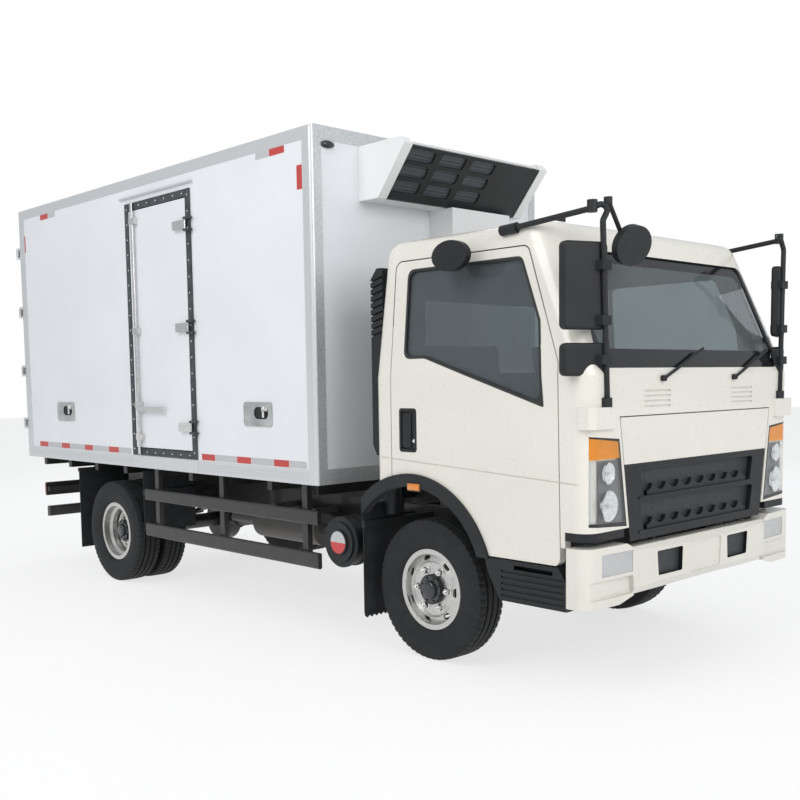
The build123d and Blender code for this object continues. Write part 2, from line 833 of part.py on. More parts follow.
panel_out = box_half_width - edge_proud
hatch_width = 300.0
hatch_height = 152.0
drip_rail = 14.0
vent_hatches = ((461.0, 1326.0), (-2208.0, 1308.0))
with BuildPart() as box_side_walls:
    for side in (-1, 1):
        low, high = sorted((side * (panel_out - wall + edge_proud), side * panel_out))
        block((box_rear_x + rear_frame_depth, box_front_x - edge), (low, high), (panel_low_z, panel_top_z))
    block(
        (side_rear_x, side_front_x),
        (-box_half_width - 1, -box_half_width + wall + 1),
        (side_low_z, side_top_z),
        Mode.SUBTRACT,
    )
    for hatch_x, hatch_z in vent_hatches:
        with BuildSketch(Plane.XZ.offset(panel_out - 1)) as hatch:
            with Locations((hatch_x, hatch_z)):
                RectangleRounded(hatch_width, hatch_height, 24)
        extrude(hatch.sketch, amount=9)
        with BuildSketch(Plane.XZ.offset(panel_out + 3)) as recess:
            with Locations((hatch_x + 40, hatch_z + 8)):
                SlotOverall(150, 76)
        extrude(recess.sketch, amount=9, mode=Mode.SUBTRACT)
    block(
        (side_rear_x - 70, side_front_x + 40),
        (-box_half_width - drip_rail, -panel_out + 1),
        (side_top_z + 36, side_top_z + 48),
    )
save(box_side_walls.part, "box_side_walls")

inner_half = box_half_width - edge
with BuildPart() as box_front_wall:
    block(
        (box_front_x - wall, box_front_x - edge_proud),
        (-inner_half, inner_half),
        (panel_low_z, panel_top_z),
    )
save(box_front_wall.part, "box_front_wall")

with BuildPart() as box_roof:
    block(
        (box_rear_x + rear_frame_depth, box_front_x - edge),
        (-inner_half, inner_half),
        (box_top_z - wall, box_top_z - edge_proud),
    )
save(box_roof.part, "box_roof")

with BuildPart() as box_floor:
    block(
        (box_rear_x + rear_frame_depth, box_front_x - edge),
        (-inner_half, inner_half),
        (box_low_z + 8, box_low_z + 8 + floor_thickness),
    )
save(box_floor.part, "box_floor")

# Side door: a gasket frame in the wall, a thick leaf, hinges and a lock rod
leaf_front_x = side_front_x - gasket_width
leaf_rear_x = side_rear_x + gasket_width
leaf_low_z = side_low_z + gasket_width
leaf_top_z = side_top_z - gasket_width
leaf_y = -(box_half_width + 4)
hinge_x = leaf_front_x + 25
hinge_y = -(box_half_width + side_hinge_proud)
side_hinge_heights = (2590, 1905, 1225)
hinge_barrel = 10.0
hinge_pin = 5.0
with BuildPart() as side_door_frame:
    block((side_rear_x, side_front_x), (-box_half_width - 6, -inner_half), (side_low_z, side_top_z))
    block(
        (leaf_rear_x - door_gap, leaf_front_x + door_gap),
        (-box_half_width - 10, -inner_half + 10),
        (leaf_low_z - door_gap, leaf_top_z + door_gap),
        Mode.SUBTRACT,
    )
    lip_y = (leaf_y + leaf_thickness + seat_gap, -inner_half)
    block(
        (leaf_rear_x - door_gap - 1, leaf_front_x + door_gap + 1),
        lip_y,
        (leaf_low_z - door_gap - 1, leaf_top_z + door_gap + 1),
    )
    block(
        (leaf_rear_x + 22, leaf_front_x - 22),
        (lip_y[0] - 5, lip_y[1] + 5),
        (leaf_low_z + 22, leaf_top_z - 22),
        Mode.SUBTRACT,
    )
    for z in side_hinge_heights:
        for end in (-1, 1):
            rod((hinge_x, hinge_y, z + end * 31), (hinge_x, hinge_y, z + end * 47), hinge_barrel)
            block(
                (hinge_x, hinge_x + 60),
                (hinge_y - 4, hinge_y + 4),
                (z + end * 31, z + end * 47),
            )
            block(
                (hinge_x + 20, hinge_x + 60),
                (hinge_y + 3, -box_half_width - 5),
                (z + end * 31, z + end * 47),
            )
        rod((hinge_x, hinge_y, z - 40), (hinge_x, hinge_y, z + 40), hinge_pin)
save(side_door_frame.part, "side_door_frame")

with BuildPart() as side_door:
    block((leaf_rear_x, leaf_front_x), (leaf_y, leaf_y + leaf_thickness), (leaf_low_z, leaf_top_z))
save(side_door.part, "side_door")

with BuildPart() as side_door_fittings:
    for z in side_hinge_heights:
        rod((hinge_x, hinge_y, z - 30), (hinge_x, hinge_y, z + 30), hinge_barrel)
        block((hinge_x - 150, hinge_x), (hinge_y - 4, hinge_y + 4), (z - 30, z + 30))
        block((hinge_x - 150, hinge_x - 60), (hinge_y + 3, leaf_y - seat_gap), (z - 30, z + 30))
        rod(
            (hinge_x, hinge_y, z - 31),
            (hinge_x, hinge_y, z + 31),
            hinge_pin + running_gap,
            Mode.SUBTRACT,
        )
    rod_x = -980
    rod_y = leaf_y - 24
    rod((rod_x, rod_y, 1012), (rod_x, rod_y, 2824), lock_rod_radius)
    for z in (2690, 1905, 1375, 1140):
        block((rod_x - 40, rod_x + 40), (rod_y - 6, leaf_y - seat_gap), (z - 22, z + 22))
    block((rod_x, rod_x + 360), (rod_y - 18, rod_y - 6), (1330, 1362))
save(side_door_fittings.part, "side_door_fittings")


# Rear doors: two leaves, each with hinges round the corner post and a lock rod
def rear_leaf(side):
    x_span = (box_rear_x + rear_door_recess, box_rear_x + rear_door_recess + rear_door_thickness)
    y_span = (side * rear_middle_gap / 2, side * (rear_open_half - 5))
    block(x_span, y_span, (door_low_z_rear + 5, panel_top_z - 5))


def rear_fittings(side):
    face_x = box_rear_x + rear_door_recess
    for z in rear_hinge_heights:
        rod(
            (rear_hinge_x, side * rear_hinge_y, z - 30),
            (rear_hinge_x, side * rear_hinge_y, z + 30),
            rear_barrel,
        )
        block(
            (rear_hinge_x - 5, rear_hinge_x - 1),
            (side * rear_hinge_y, side * (rear_open_half - 110)),
            (z - 30, z + 30),
        )
        block(
            (rear_hinge_x - 3, face_x - seat_gap),
            (side * (rear_open_half - 40), side * (rear_open_half - 110)),
            (z - 30, z + 30),
        )
        rod(
            (rear_hinge_x, side * rear_hinge_y, z - 31),
            (rear_hinge_x, side * rear_hinge_y, z + 31),
            rear_pin + running_gap,
            Mode.SUBTRACT,
        )
    rod_y = side * 330
    lock_x = rear_x + lock_rod_radius
    rod((lock_x, rod_y, box_low_z + 20), (lock_x, rod_y, box_top_z - 25), lock_rod_radius)
    for z in (2750, 2100, 1500, 1150):
        block((lock_x, face_x - seat_gap), (rod_y - 40, rod_y + 40), (z - 22, z + 22))
    block((rear_x, rear_x + 12), (rod_y, rod_y + side * 330), (1300, 1332))


with BuildPart() as rear_door_right:
    rear_leaf(-1)
save(rear_door_right.part, "rear_door_right")
with BuildPart() as rear_door_left:
    rear_leaf(1)
save(rear_door_left.part, "rear_door_left")
with BuildPart() as rear_fittings_right:
    rear_fittings(-1)
save(rear_fittings_right.part, "rear_fittings_right")
with BuildPart() as rear_fittings_left:
    rear_fittings(1)
save(rear_fittings_left.part, "rear_fittings_left")

# Refrigeration unit on the front wall, its sloping face and the duct below it
fridge_half = 653.0
fridge_rear_x = box_front_x - edge_proud + seat_gap
fridge_low_z = 2605.0
fridge_top_z = 2927.0
fridge_top_x = 1440.0
fridge_low_x = 1205.0
with BuildPart() as fridge_unit:
    for side in (-1, 1):
        side_sheet(
            [
                (fridge_rear_x, fridge_low_z),
                (fridge_low_x, fridge_low_z),
                (fridge_top_x, fridge_top_z - 40),
                (fridge_top_x - 40, fridge_top_z),
                (fridge_rear_x, fridge_top_z),
            ],
            (side * fridge_half, side * (fridge_half - 70)),
        )
    side_sheet(
        [
            (fridge_rear_x, fridge_low_z),
            (fridge_low_x - 32, fridge_low_z),
            (fridge_top_x - 60, fridge_top_z - 42),
            (fridge_top_x - 60, fridge_top_z - 10),
            (fridge_rear_x, fridge_top_z - 10),
        ],
        (-fridge_half + 60, fridge_half - 60),
    )
    block((fridge_rear_x, 1240), (-50, 500), (2260, fridge_low_z + 1))
save(fridge_unit.part, "fridge_unit")

face_rise = fridge_top_z - 40 - fridge_low_z
face_plane = Plane(
    origin=(fridge_low_x - 4, 0, fridge_low_z + 4),
    x_dir=(0, 1, 0),
    z_dir=(face_rise, 0, -(fridge_top_x - fridge_low_x)),
)
with BuildPart() as fridge_grille:
    side_sheet(
        [
            (fridge_low_x - 28.6, fridge_low_z + 4),
            (fridge_low_x - 4, fridge_low_z + 4),
            (fridge_top_x - 8, fridge_top_z - 44),
            (fridge_top_x - 44, fridge_top_z - 28),
            (fridge_top_x - 59, fridge_top_z - 41),
        ],
        (-fridge_half + 70 + seat_gap, fridge_half - 70 - seat_gap),
    )
    block((1000, 1600), (120, fridge_half), (fridge_low_z - 30, fridge_low_z + 4), Mode.SUBTRACT)
    with BuildSketch(face_plane.offset(-9)) as windows:
        for row in range(3):
            for column in range(3):
                with Locations((-470 + column * 268, 90 + row * 104)):
                    RectangleRounded(214, 78, 22)
    extrude(windows.sketch, amount=20, mode=Mode.SUBTRACT)
save(fridge_grille.part, "fridge_grille")

# Cab
screen_run = math.tan(math.radians(screen_slope)) * (cab_top_z - cab_waist_z)


def cab_outline(z, rear, nose, half, nose_r, tail_r):
    """The cab's plan at one height."""
    with BuildSketch(Plane.XY.offset(z)) as outline:
        with Locations(((rear + nose) / 2, 0)):
            Rectangle(nose - rear, 2 * half)
        fillet(outline.vertices().group_by(Axis.X)[-1], nose_r)
        fillet(outline.vertices().group_by(Axis.X)[0], tail_r)
    return outline.sketch


def cab_form(inset, top_inset):
    """The cab's closed outer form, or the same form a wall's thickness further in."""
    top = cab_top_z - top_inset
    share = (top - cab_waist_z) / (cab_top_z - cab_waist_z)
    tail = cab_rear_x + inset
    nose = cab_nose_x - inset
    half = cab_half_width - inset
    nose_r = nose_radius - inset
    roof_nose_r = roof_nose_radius - inset
    tail_r = max(tail_radius - inset, 5)
    low = cab_outline(cab_low_z, tail, nose, half, nose_r, tail_r)
    waist = cab_outline(cab_waist_z, tail, nose, half, nose_r, tail_r)
    roof = cab_outline(
        top,
        tail,
        nose - screen_run * share,
        half - side_lean * share,
        roof_nose_r,
        tail_top_radius - inset,
    )
    with BuildPart() as form:
        extrude(low, amount=cab_waist_z - cab_low_z)
        loft([waist, roof])
        top_face = form.faces().sort_by(Axis.Z)[-1]
        fillet(top_face.edges(), roof_radius - inset)
    return form.part


cab_outer = cab_form(0, 0)
cab_inner = cab_form(cab_wall, cab_wall)


def door_points(grow):
    """The cab door's outline in side view, larger by the gap for its opening."""
    return [
        (door_rear_x - grow, door_low_z - grow),
        (door_front_x + grow, door_low_z - grow),
        (door_front_x - 16 + grow, 1600),
        (door_front_x - 236 + grow, door_top_z + grow),
        (door_rear_x - grow, door_top_z + grow),
    ]


handle_x = 1777.0
handle_z = 1258.0
handle_width = 136.0
handle_height = 238.0
handle_depth = 14.0


def window_points(inset):
    """The door window's outline, inset evenly at its sides."""
    return [
        (1757 + inset, 1655 + inset),
        (1900, 1655 + inset),
        (2690 - inset, 1410 + 1.2 * inset),
        (2655 - inset, 1800),
        (2525 - inset, 2105 - inset),
        (1757 + inset, 2105 - inset),
    ]


crease_points = [(1480, 1112), (2920, 1036), (2920, 1029), (1480, 1105)]


def screen_points(inset):
    """The windscreen's outline seen from the front."""
    return [
        (-screen_low_half + inset, screen_low_z + inset),
        (screen_low_half - inset, screen_low_z + inset),
        (screen_top_half - inset, screen_top_z - inset),
        (-screen_top_half + inset, screen_top_z - inset),
    ]


def arch_cut(radius, y_span):
    low, high = sorted(y_span)
    with BuildSketch(Plane.XZ.offset(-high)) as arch:
        with Locations((arch_x, arch_z)):
            Circle(radius)
    extrude(arch.sketch, amount=high - low, mode=Mode.SUBTRACT)


lid_low_z = 730.0
lid_top_z = 1338.0
lid_low_half = 642.0
lid_top_half = 733.0
lid_depth = 40.0
seal_depth = 9.0
lamp_inner_gap = 24.0
lamp_depth = 21.0
lamp_low_z = 816.0
lamp_top_z = 1238.0
lamp_rise = 30.0
corner_low_z = 806.0
moulding_low_z = 765.0
corner_rear_x = 2830.0
pod_low_z = 1290.0
pod_top_z = 1391.0
screen_low_z = 1572.0
screen_top_z = 2150.0
screen_low_half = 890.0
screen_top_half = 800.0
screen_corner = 60.0
rear_window_half = 620.0
rear_window_low_z = 1560.0
rear_window_top_z = 1980.0
door_corner = 45.0
window_corner = 45.0


def seam_half(z):
    """Half the width of the nose's middle panel at a height."""
    return lid_low_half + (lid_top_half - lid_low_half) * (z - lid_low_z) / (lid_top_z - lid_low_z)


def middle_panel(low_z, high_z, grow, x_span, mode=Mode.ADD):
    low_half = seam_half(low_z) + grow
    high_half = seam_half(high_z) + grow
    front_sheet(
        [(-low_half, low_z), (low_half, low_z), (high_half, high_z), (-high_half, high_z)],
        x_span,
        mode,
    )


def lamp_corner(side, grow, mode=Mode.ADD):
    """The space of one headlamp, seen from the front and cut off at its rear edge."""
    low_y = seam_half(lamp_low_z) + lamp_inner_gap - grow
    high_y = seam_half(lamp_top_z) + lamp_inner_gap - grow
    front_sheet(
        [
            (side * low_y, lamp_low_z - grow),
            (side * high_y, lamp_top_z + grow),
            (side * 1100, lamp_top_z + lamp_rise + grow),
            (side * 1100, lamp_low_z + lamp_rise - grow),
        ],
        (cab_nose_x - lamp_depth - grow, 3100),
        mode,
    )


lip_cut_x = 2770.0
lip_cut_z = 745.0


def door_seal(side):
    """A lip of the cab that the closed door's inner edge lies against."""
    outside = (side * 700, side * 1100)
    with BuildPart() as leaf_space:
        add(cab_outer)
        add(cab_form(cab_wall + seat_gap, cab_wall + seat_gap), mode=Mode.SUBTRACT)
        side_sheet(door_points(door_gap), outside, Mode.INTERSECT)
    with BuildPart() as lip:
        add(cab_form(cab_wall - 1, cab_wall - 1))
        add(cab_form(cab_wall + seal_depth, cab_wall + seal_depth), mode=Mode.SUBTRACT)
        side_sheet(door_points(24), outside, Mode.INTERSECT)
        side_sheet(door_points(-22), outside, Mode.SUBTRACT)
        add(leaf_space.part, mode=Mode.SUBTRACT)
        arch_cut(arch_radius, outside)
        block((1400, 3100), (-1100, 1100), (300, cab_low_z + 12), Mode.SUBTRACT)
        block((lip_cut_x, 3100), (-1100, 1100), (300, lip_cut_z), Mode.SUBTRACT)
    return lip.part


def mirror_pod(side):
    """The block beside the screen's lower corner that carries the mirrors."""
    with BuildSketch(Plane.XY.offset(pod_low_z)) as plan:
        with BuildLine():
            Polyline(
                (2880, side * 940),
                (2905, side * 992),
                (2972, side * 992),
                (2989, side * 960),
                (2989, side * 800),
                (2940, side * 770),
                close=True,
            )
        make_face()
        fillet(plan.vertices(), 12)
    with BuildPart() as pod:
        extrude(plan.sketch, amount=pod_top_z - pod_low_z)
        add(cab_inner, mode=Mode.SUBTRACT)
    return pod.part


def lid_stop():
    """A thin frame behind the lid's edge."""
    lid_back = cab_nose_x - lid_depth - seat_gap
    with BuildPart() as stop:
        middle_panel(corner_low_z + 1, lid_top_z + 55, lamp_inner_gap + 1, (lid_back - 12, lid_back))
        middle_panel(400, lid_top_z - 22, -22, (lid_back - 14, lid_back + 2), Mode.SUBTRACT)
    return stop.part


def corner_lamp(side):
    """The slice of the cab's front corner that is a headlamp."""
    with BuildPart() as lamp:
        add(cab_outer)
        add(cab_inner, mode=Mode.SUBTRACT)
        lamp_corner(side, 0, Mode.INTERSECT)
    return lamp.part


def corner_moulding(side):
    """The dark strip of the cab's corner under a headlamp."""
    with BuildPart() as strip:
        add(cab_outer)
        add(cab_inner, mode=Mode.SUBTRACT)
        height = (moulding_low_z, corner_low_z - seat_gap)
        block((corner_rear_x + seat_gap, 3100), (-1100, 1100), height, Mode.INTERSECT)
        block((corner_rear_x, 3100), (-side * 1100, side * 700), (500, 900), Mode.SUBTRACT)
    return strip.part


with BuildPart() as cab_shell:
    add(cab_outer)
    add(cab_inner, mode=Mode.SUBTRACT)
    for side in (-1, 1):
        outside = (side * 700, side * 1100)
        side_sheet(door_points(door_gap), outside, Mode.SUBTRACT, door_corner + door_gap)
        arch_cut(arch_radius, (side * 500, side * 1100))
        block((1400, 2300), (side * 400, side * 1100), (500, 920), Mode.SUBTRACT)
        add(mirror_pod(side))
        lamp_corner(side, seat_gap, Mode.SUBTRACT)
        block((corner_rear_x, 3100), (side * 600, side * 1100), (500, corner_low_z), Mode.SUBTRACT)
        for slot_z in (1385, 1410, 1435, 1460):
            slot_y = (side * 300, side * 533)
            block((cab_nose_x - 7, cab_nose_x + 1), slot_y, (slot_z - 5, slot_z + 5), Mode.SUBTRACT)
        side_sheet(crease_points, (side * (cab_half_width - 5), side * 1100), Mode.SUBTRACT)
    block((1400, 1700), (-1100, 1100), (500, 960), Mode.SUBTRACT)
    block((2800, 3100), (-1100, 1100), (500, lid_low_z), Mode.SUBTRACT)
    middle_panel(500, lid_top_z + door_gap, door_gap, (2800, 3100), Mode.SUBTRACT)
    front_sheet(screen_points(0), (2450, 3100), Mode.SUBTRACT, screen_corner)
    rear_window_y = (-rear_window_half, rear_window_half)
    block((1400, 1600), rear_window_y, (rear_window_low_z, rear_window_top_z), Mode.SUBTRACT)
    add(door_seal(-1))
    add(door_seal(1))
    add(lid_stop())
    block((lip_cut_x - 15, 3100), (-1100, 1100), (500, cab_low_z + 30), Mode.SUBTRACT)
save(cab_shell.part, "cab_shell")

with BuildPart() as cab_glass:
    add(cab_form(14, 14))
    add(cab_form(20, 20), mode=Mode.SUBTRACT)
    front_sheet(screen_points(seat_gap), (2450, 3100), Mode.INTERSECT, screen_corner - seat_gap)
    pane_half = rear_window_half - seat_gap
    pane_height = (rear_window_low_z + seat_gap, rear_window_top_z - seat_gap)
    block((cab_rear_x + 14, cab_rear_x + 20), (-pane_half, pane_half), pane_height)
save(cab_glass.part, "cab_glass")


def cab_door(side):
    add(cab_outer)
    add(cab_inner, mode=Mode.SUBTRACT)
    side_sheet(door_points(0), (side * 705, side * 1100), Mode.INTERSECT, door_corner)
    side_sheet(window_points(0), (side * 700, side * 1100), Mode.SUBTRACT, window_corner)
    arch_cut(arch_radius, (side * 700, side * 1100))
    side_sheet(crease_points, (side * (cab_half_width - 5), side * 1100), Mode.SUBTRACT)
    with BuildSketch(Plane.XZ.offset(-side * (cab_half_width - handle_depth))) as recess:
        with Locations((handle_x, handle_z)):
            RectangleRounded(handle_width, handle_height, 20)
    extrude(recess.sketch, amount=-side * 60, mode=Mode.SUBTRACT)


def door_glass(side):
    add(cab_form(14, 14))
    add(cab_form(19, 19), mode=Mode.SUBTRACT)
    side_sheet(window_points(seat_gap), (side * 705, side * 1100), Mode.INTERSECT, window_corner - seat_gap)


with BuildPart() as cab_door_right:
    cab_door(-1)
save(cab_door_right.part, "cab_door_right")
with BuildPart() as cab_door_left:
    cab_door(1)
save(cab_door_left.part, "cab_door_left")
with BuildPart() as door_glass_right:
    door_glass(-1)
save(door_glass_right.part, "door_glass_right")
with BuildPart() as door_glass_left:
    door_glass(1)
save(door_glass_left.part, "door_glass_left")

# Lid over the nose and the grille below it
grille_top_z = 1112.0
grille_rows = ((792.0, 918.0), (960.0, 1078.0))
tooth_count = 8
tooth_height = 44.0
row_half = 530.0
with BuildPart() as front_lid:
    middle_panel(grille_top_z, lid_top_z, 0, (cab_nose_x - lid_depth, cab_nose_x))
save(front_lid.part, "front_lid")


def tooth_row(low_z, half):
    """The outline of a bar whose upper edge is a row of hooked teeth."""
    pitch = 2 * half / tooth_count
    points = [(-half, low_z - 14), (half, low_z - 14), (half, low_z + 8)]
    for number in range(tooth_count):
        start = half - number * pitch
        points += [(start - pitch * 0.20, low_z + 12), (start - pitch * 0.62, low_z + tooth_height)]
        points += [(start - pitch * 0.72, low_z + tooth_height * 0.45), (start - pitch * 0.92, low_z + 8)]
    points.append((-half, low_z + 6))
    return points


with BuildPart() as grille:
    middle_panel(lid_low_z + 6, grille_top_z - seat_gap, 0, (cab_nose_x - lid_depth, cab_nose_x - 4))
    for low_z, high_z in grille_rows:
        front_sheet(
            [
                (-row_half, low_z - 12),
                (row_half, low_z - 12),
                (row_half + 30, high_z),
                (-row_half - 30, high_z),
            ],
            (cab_nose_x - lid_depth + 10, cab_nose_x + 1),
            Mode.SUBTRACT,
            14,
        )
        front_sheet(tooth_row(low_z, row_half - 40), (cab_nose_x - lid_depth + 9, cab_nose_x - 10))
        block((cab_nose_x - 24, cab_nose_x), (-row_half - 40, row_half + 40), (low_z - 26, low_z - 13))
save(grille.part, "grille")

# Headlamps fill the corners beside the lid
with BuildPart() as headlamps:
    for side in (-1, 1):
        add(corner_lamp(side))
save(headlamps.part, "headlamps")

# Cab floor: a raised deck over the engine, a footwell in front and the toe board
deck_low_z = 960.0
footwell_low_z = 775.0
floor_sheet = 35.0
cab_inside = cab_form(cab_wall + seal_depth + seat_gap, cab_wall + seal_depth + seat_gap)
with BuildPart() as cab_floor:
    add(cab_inside)
    side_sheet(
        [
            (cab_rear_x, deck_low_z),
            (2330, deck_low_z),
            (2330, footwell_low_z),
            (2640, footwell_low_z),
            (2850, 1000),
            (2850, 1034),
            (2820, 1034),
            (2625, footwell_low_z + floor_sheet),
            (2330 + floor_sheet, footwell_low_z + floor_sheet),
            (2330 + floor_sheet, deck_low_z + floor_sheet),
            (cab_rear_x, deck_low_z + floor_sheet),
        ],
        (-1100, 1100),
        Mode.INTERSECT,
    )
    for side in (-1, 1):
        lug_y = (side * 328, side * 350)
        side_sheet(
            [
                (2790, 935),
                (2850, 1000),
                (2906, 700),
                (tilt_x + tilt_boss - 4, tilt_z + 10),
                (tilt_x - tilt_boss + 4, tilt_z + 10),
                (2872, 700),
            ],
            lug_y,
        )
        rod((tilt_x, lug_y[0], tilt_z), (tilt_x, lug_y[1], tilt_z), tilt_boss)
        rod((tilt_x, side * 320, tilt_z), (tilt_x, side * 360, tilt_z), tilt_pin + running_gap, Mode.SUBTRACT)
save(cab_floor.part, "cab_floor")

wheel_centre = Vector(2440, 500, 1370)
column_foot = Vector(2640, 500, 1220)
column = (column_foot - wheel_centre).normalized()
column_shaft = 70.0
with BuildPart() as dashboard:
    add(cab_inside)
    side_sheet(
        [
            (2560, 1240),
            (2600, 1120),
            (2840, 1035),
            (2905, 1300),
            (2885, 1480),
            (2700, 1490),
            (2600, 1420),
        ],
        (-1100, 1100),
        Mode.INTERSECT,
    )
    rod(tuple(wheel_centre + column * (column_shaft + running_gap)), tuple(column_foot), 36)
save(dashboard.part, "dashboard")

with BuildPart() as steering_wheel:
    with Locations(Plane(origin=wheel_centre, z_dir=column)):
        Torus(195, 14)
        Cylinder(42, 40)
        for turn in (0, 120, 240):
            with Locations(Rotation(0, 0, turn)):
                with Locations((100, 0, 0)):
                    Box(180, 26, 12)
    rod(tuple(wheel_centre), tuple(wheel_centre + column * column_shaft), 20)
save(steering_wheel.part, "steering_wheel")

with BuildPart() as seats:
    for low, high in ((-890, -40), (260, 800)):
        cushion_z = (deck_low_z + floor_sheet + seat_gap, 1130)
        back_z = cushion_z[1] + seat_gap
        block((1680, 2220), (low, high), cushion_z)
        side_sheet([(1640, back_z), (1740, back_z), (1650, 1760), (1570, 1760)], (low, high))
save(seats.part, "seats")

# Wheel flares and the steps in front of them
with BuildPart() as cab_skirts:
    for side in (-1, 1):
        low, high = sorted((side * (cab_half_width - cab_wall + 1), side * (cab_half_width + flare_proud)))
        with BuildSketch(Plane.XZ.offset(-high)):
            with Locations((arch_x, arch_z)):
                Circle(arch_radius - 1)
                Circle(arch_radius - flare_width, mode=Mode.SUBTRACT)
        extrude(amount=high - low)
    block((1000, 3000), (-1200, 1200), (-300, door_low_z - 8), Mode.SUBTRACT)
    block((1000, 1404), (-1200, 1200), (-300, 2000), Mode.SUBTRACT)
    for side in (-1, 1):
        side_sheet(
            [(2330, 634), (2795, 634), (2842, 560), (2842, 426), (2430, 426), (2350, 560)],
            (side * 900, side * (cab_half_width + 6)),
        )
        for rib_z in (455, 485, 515, 545, 575):
            side_sheet(
                [(2440, rib_z - 6), (2828, rib_z - 6), (2828, rib_z + 6), (2440, rib_z + 6)],
                (side * cab_half_width, side * (cab_half_width + 10)),
                Mode.SUBTRACT,
            )
        block((2520, 2760), (side * 940, side * 1000), (590, 612), Mode.SUBTRACT)
        add(corner_moulding(side))
save(cab_skirts.part, "cab_skirts")

stack_front_x = 1500.0
stack_rear_x = 1402.0
stack_low_z = 1103.0
stack_top_z = 2154.0
stack_slots = 9
with BuildPart() as intake_stack:
    with BuildSketch(Plane.XZ.offset(700)) as stack_side:
        with BuildLine():
            Polyline(
                (stack_front_x, stack_low_z + 40),
                (stack_front_x, stack_top_z),
                (stack_rear_x + 50, stack_top_z),
                (stack_rear_x, stack_top_z - 60),
                (stack_rear_x, stack_low_z + 60),
                (stack_rear_x + 30, stack_low_z),
                (stack_front_x - 20, stack_low_z),
                close=True,
            )
        make_face()
        fillet(stack_side.vertices(), 9)
    extrude(stack_side.sketch, amount=200)
    for number in range(stack_slots):
        slot_z = stack_top_z - 60 - number * 38
        side_sheet(
            [
                (stack_rear_x - 5, slot_z - 20),
                (stack_front_x + 5, slot_z + 6),
                (stack_front_x + 5, slot_z + 17),
                (stack_rear_x - 5, slot_z - 9),
            ],
            (-901, -886),
            Mode.SUBTRACT,
        )
    block((stack_front_x - 1, cab_rear_x - seat_gap), (-860, -740), (1500, 1560))
    rod((1452, -800, 760), (1452, -800, stack_low_z + 5), 48)
    for number in range(5):
        ring_z = 985 + number * 24
        rod((1452, -800, ring_z), (1452, -800, ring_z + 12), 58)
save(intake_stack.part, "intake_stack")

# Mirrors: a bent arm from roof to nose each side, with the heads clamped on it
mirror_width = 240.0
mirror_depth = 52.0
mirror_turn = 20.0
mirror_y = 945.0


def mirror_head(side, centre_x, centre_z, height):
    """A flat housing with round corners, its outer edge swung back."""
    turn = math.radians(mirror_turn)
    head = Plane(
        origin=(centre_x, side * mirror_y, centre_z),
        x_dir=(math.sin(turn), -side * math.cos(turn), 0),
        z_dir=(math.cos(turn), side * math.sin(turn), 0),
    )
    with BuildSketch(head.offset(-mirror_depth / 2)) as outline:
        RectangleRounded(mirror_width, height, 26)
    with BuildPart() as housing:
        extrude(outline.sketch, amount=mirror_depth)
        fillet(housing.faces().sort_by(Axis.X)[-1].edges(), 14)
    return housing.part


def mirror_arm(side):
    route = [
        (2453, side * 930, 2255),
        (2925, side * 905, 2298),
        (2968, side * 800, 2352),
        (2966, side * 880, 2240),
        (2971, side * 850, pod_top_z + 10),
    ]
    bent_tube(route, 26, 14)
    rod((2400, side * 925, 2252), (2500, side * 925, 2258), 26)
    rod((2925, side * 905, 2280), (2925, side * 905, 2335), 24)
    rod((2960, side * 852, pod_top_z + seat_gap), (2960, side * 852, pod_top_z + 44), 34)
    for clamp_z in (2040, 1790, 1610):
        block((2915, 2984), (side * 835, side * 905), (clamp_z - 22, clamp_z + 22))


with BuildPart() as mirrors:
    for side in (-1, 1):
        mirror_arm(side)
        add(mirror_head(side, 2905, 1948, 400))
        add(mirror_head(side, 2905, 1612, 152))
    rod((2956, -826, 2338), (2935, -700, 2215), 11)
    rod((2956, -826, 2352), (2956, -826, 2318), 20)
    with BuildSketch(Plane(origin=(2925, -610, 2158), x_dir=(0, 1, 0), z_dir=(0.94, 0, -0.34))) as disc:
        Ellipse(135, 97)
    extrude(disc.sketch, amount=34)
    rod((2531, -640, 2250), (2531, -640, 2330), 34)
    add(cab_form(-seat_gap, -seat_gap), mode=Mode.SUBTRACT)
save(mirrors.part, "mirrors")

# The mirror over the right door stands on the door's upper frame
with BuildPart() as kerb_mirror:
    with BuildSketch(Plane(origin=(2172, -1030, 2145), x_dir=(1, 0, 0), z_dir=(0, -1, 0))) as disc:
        Ellipse(120, 76)
    extrude(disc.sketch, amount=36)
    rod((2172, -880, 2138), (2172, -1034, 2145), 13)
    add(cab_form(-seat_gap, -seat_gap), mode=Mode.SUBTRACT)
save(kerb_mirror.part, "kerb_mirror")

wiper_pivots = (-380, 320)
with BuildPart() as wipers:
    for y in wiper_pivots:
        rod((cab_nose_x + 22, y, 1520), (cab_nose_x - 20, y, 1520), 15)
    add(cab_form(-seat_gap, -seat_gap), mode=Mode.SUBTRACT)
    for y in wiper_pivots:
        rod((cab_nose_x + 16, y, 1520), (cab_nose_x - 20, y + 420, 1668), 8)
save(wipers.part, "wipers")

with BuildPart() as chassis_lamps:
    extrude(bumper_outline(4, fog_low_z + seat_gap), amount=fog_top_z - fog_low_z - 2 * seat_gap)
    extrude(bumper_outline(26, fog_low_z), amount=fog_top_z - fog_low_z, mode=Mode.SUBTRACT)
    block((2800, 3100), (-fog_inner_y, fog_inner_y), (500, 800), Mode.SUBTRACT)
    block((2800, 3100), (-fog_outer_y, fog_outer_y), (500, 800), Mode.INTERSECT)
    for side in (-1, 1):
        block((-2988, -2950 - seat_gap), (side * 560, side * 880), (560, 660))
save(chassis_lamps.part, "chassis_lamps")
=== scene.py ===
import math
import bmesh
import bpy
from mathutils import Matrix, Vector
from mathutils.bvhtree import BVHTree


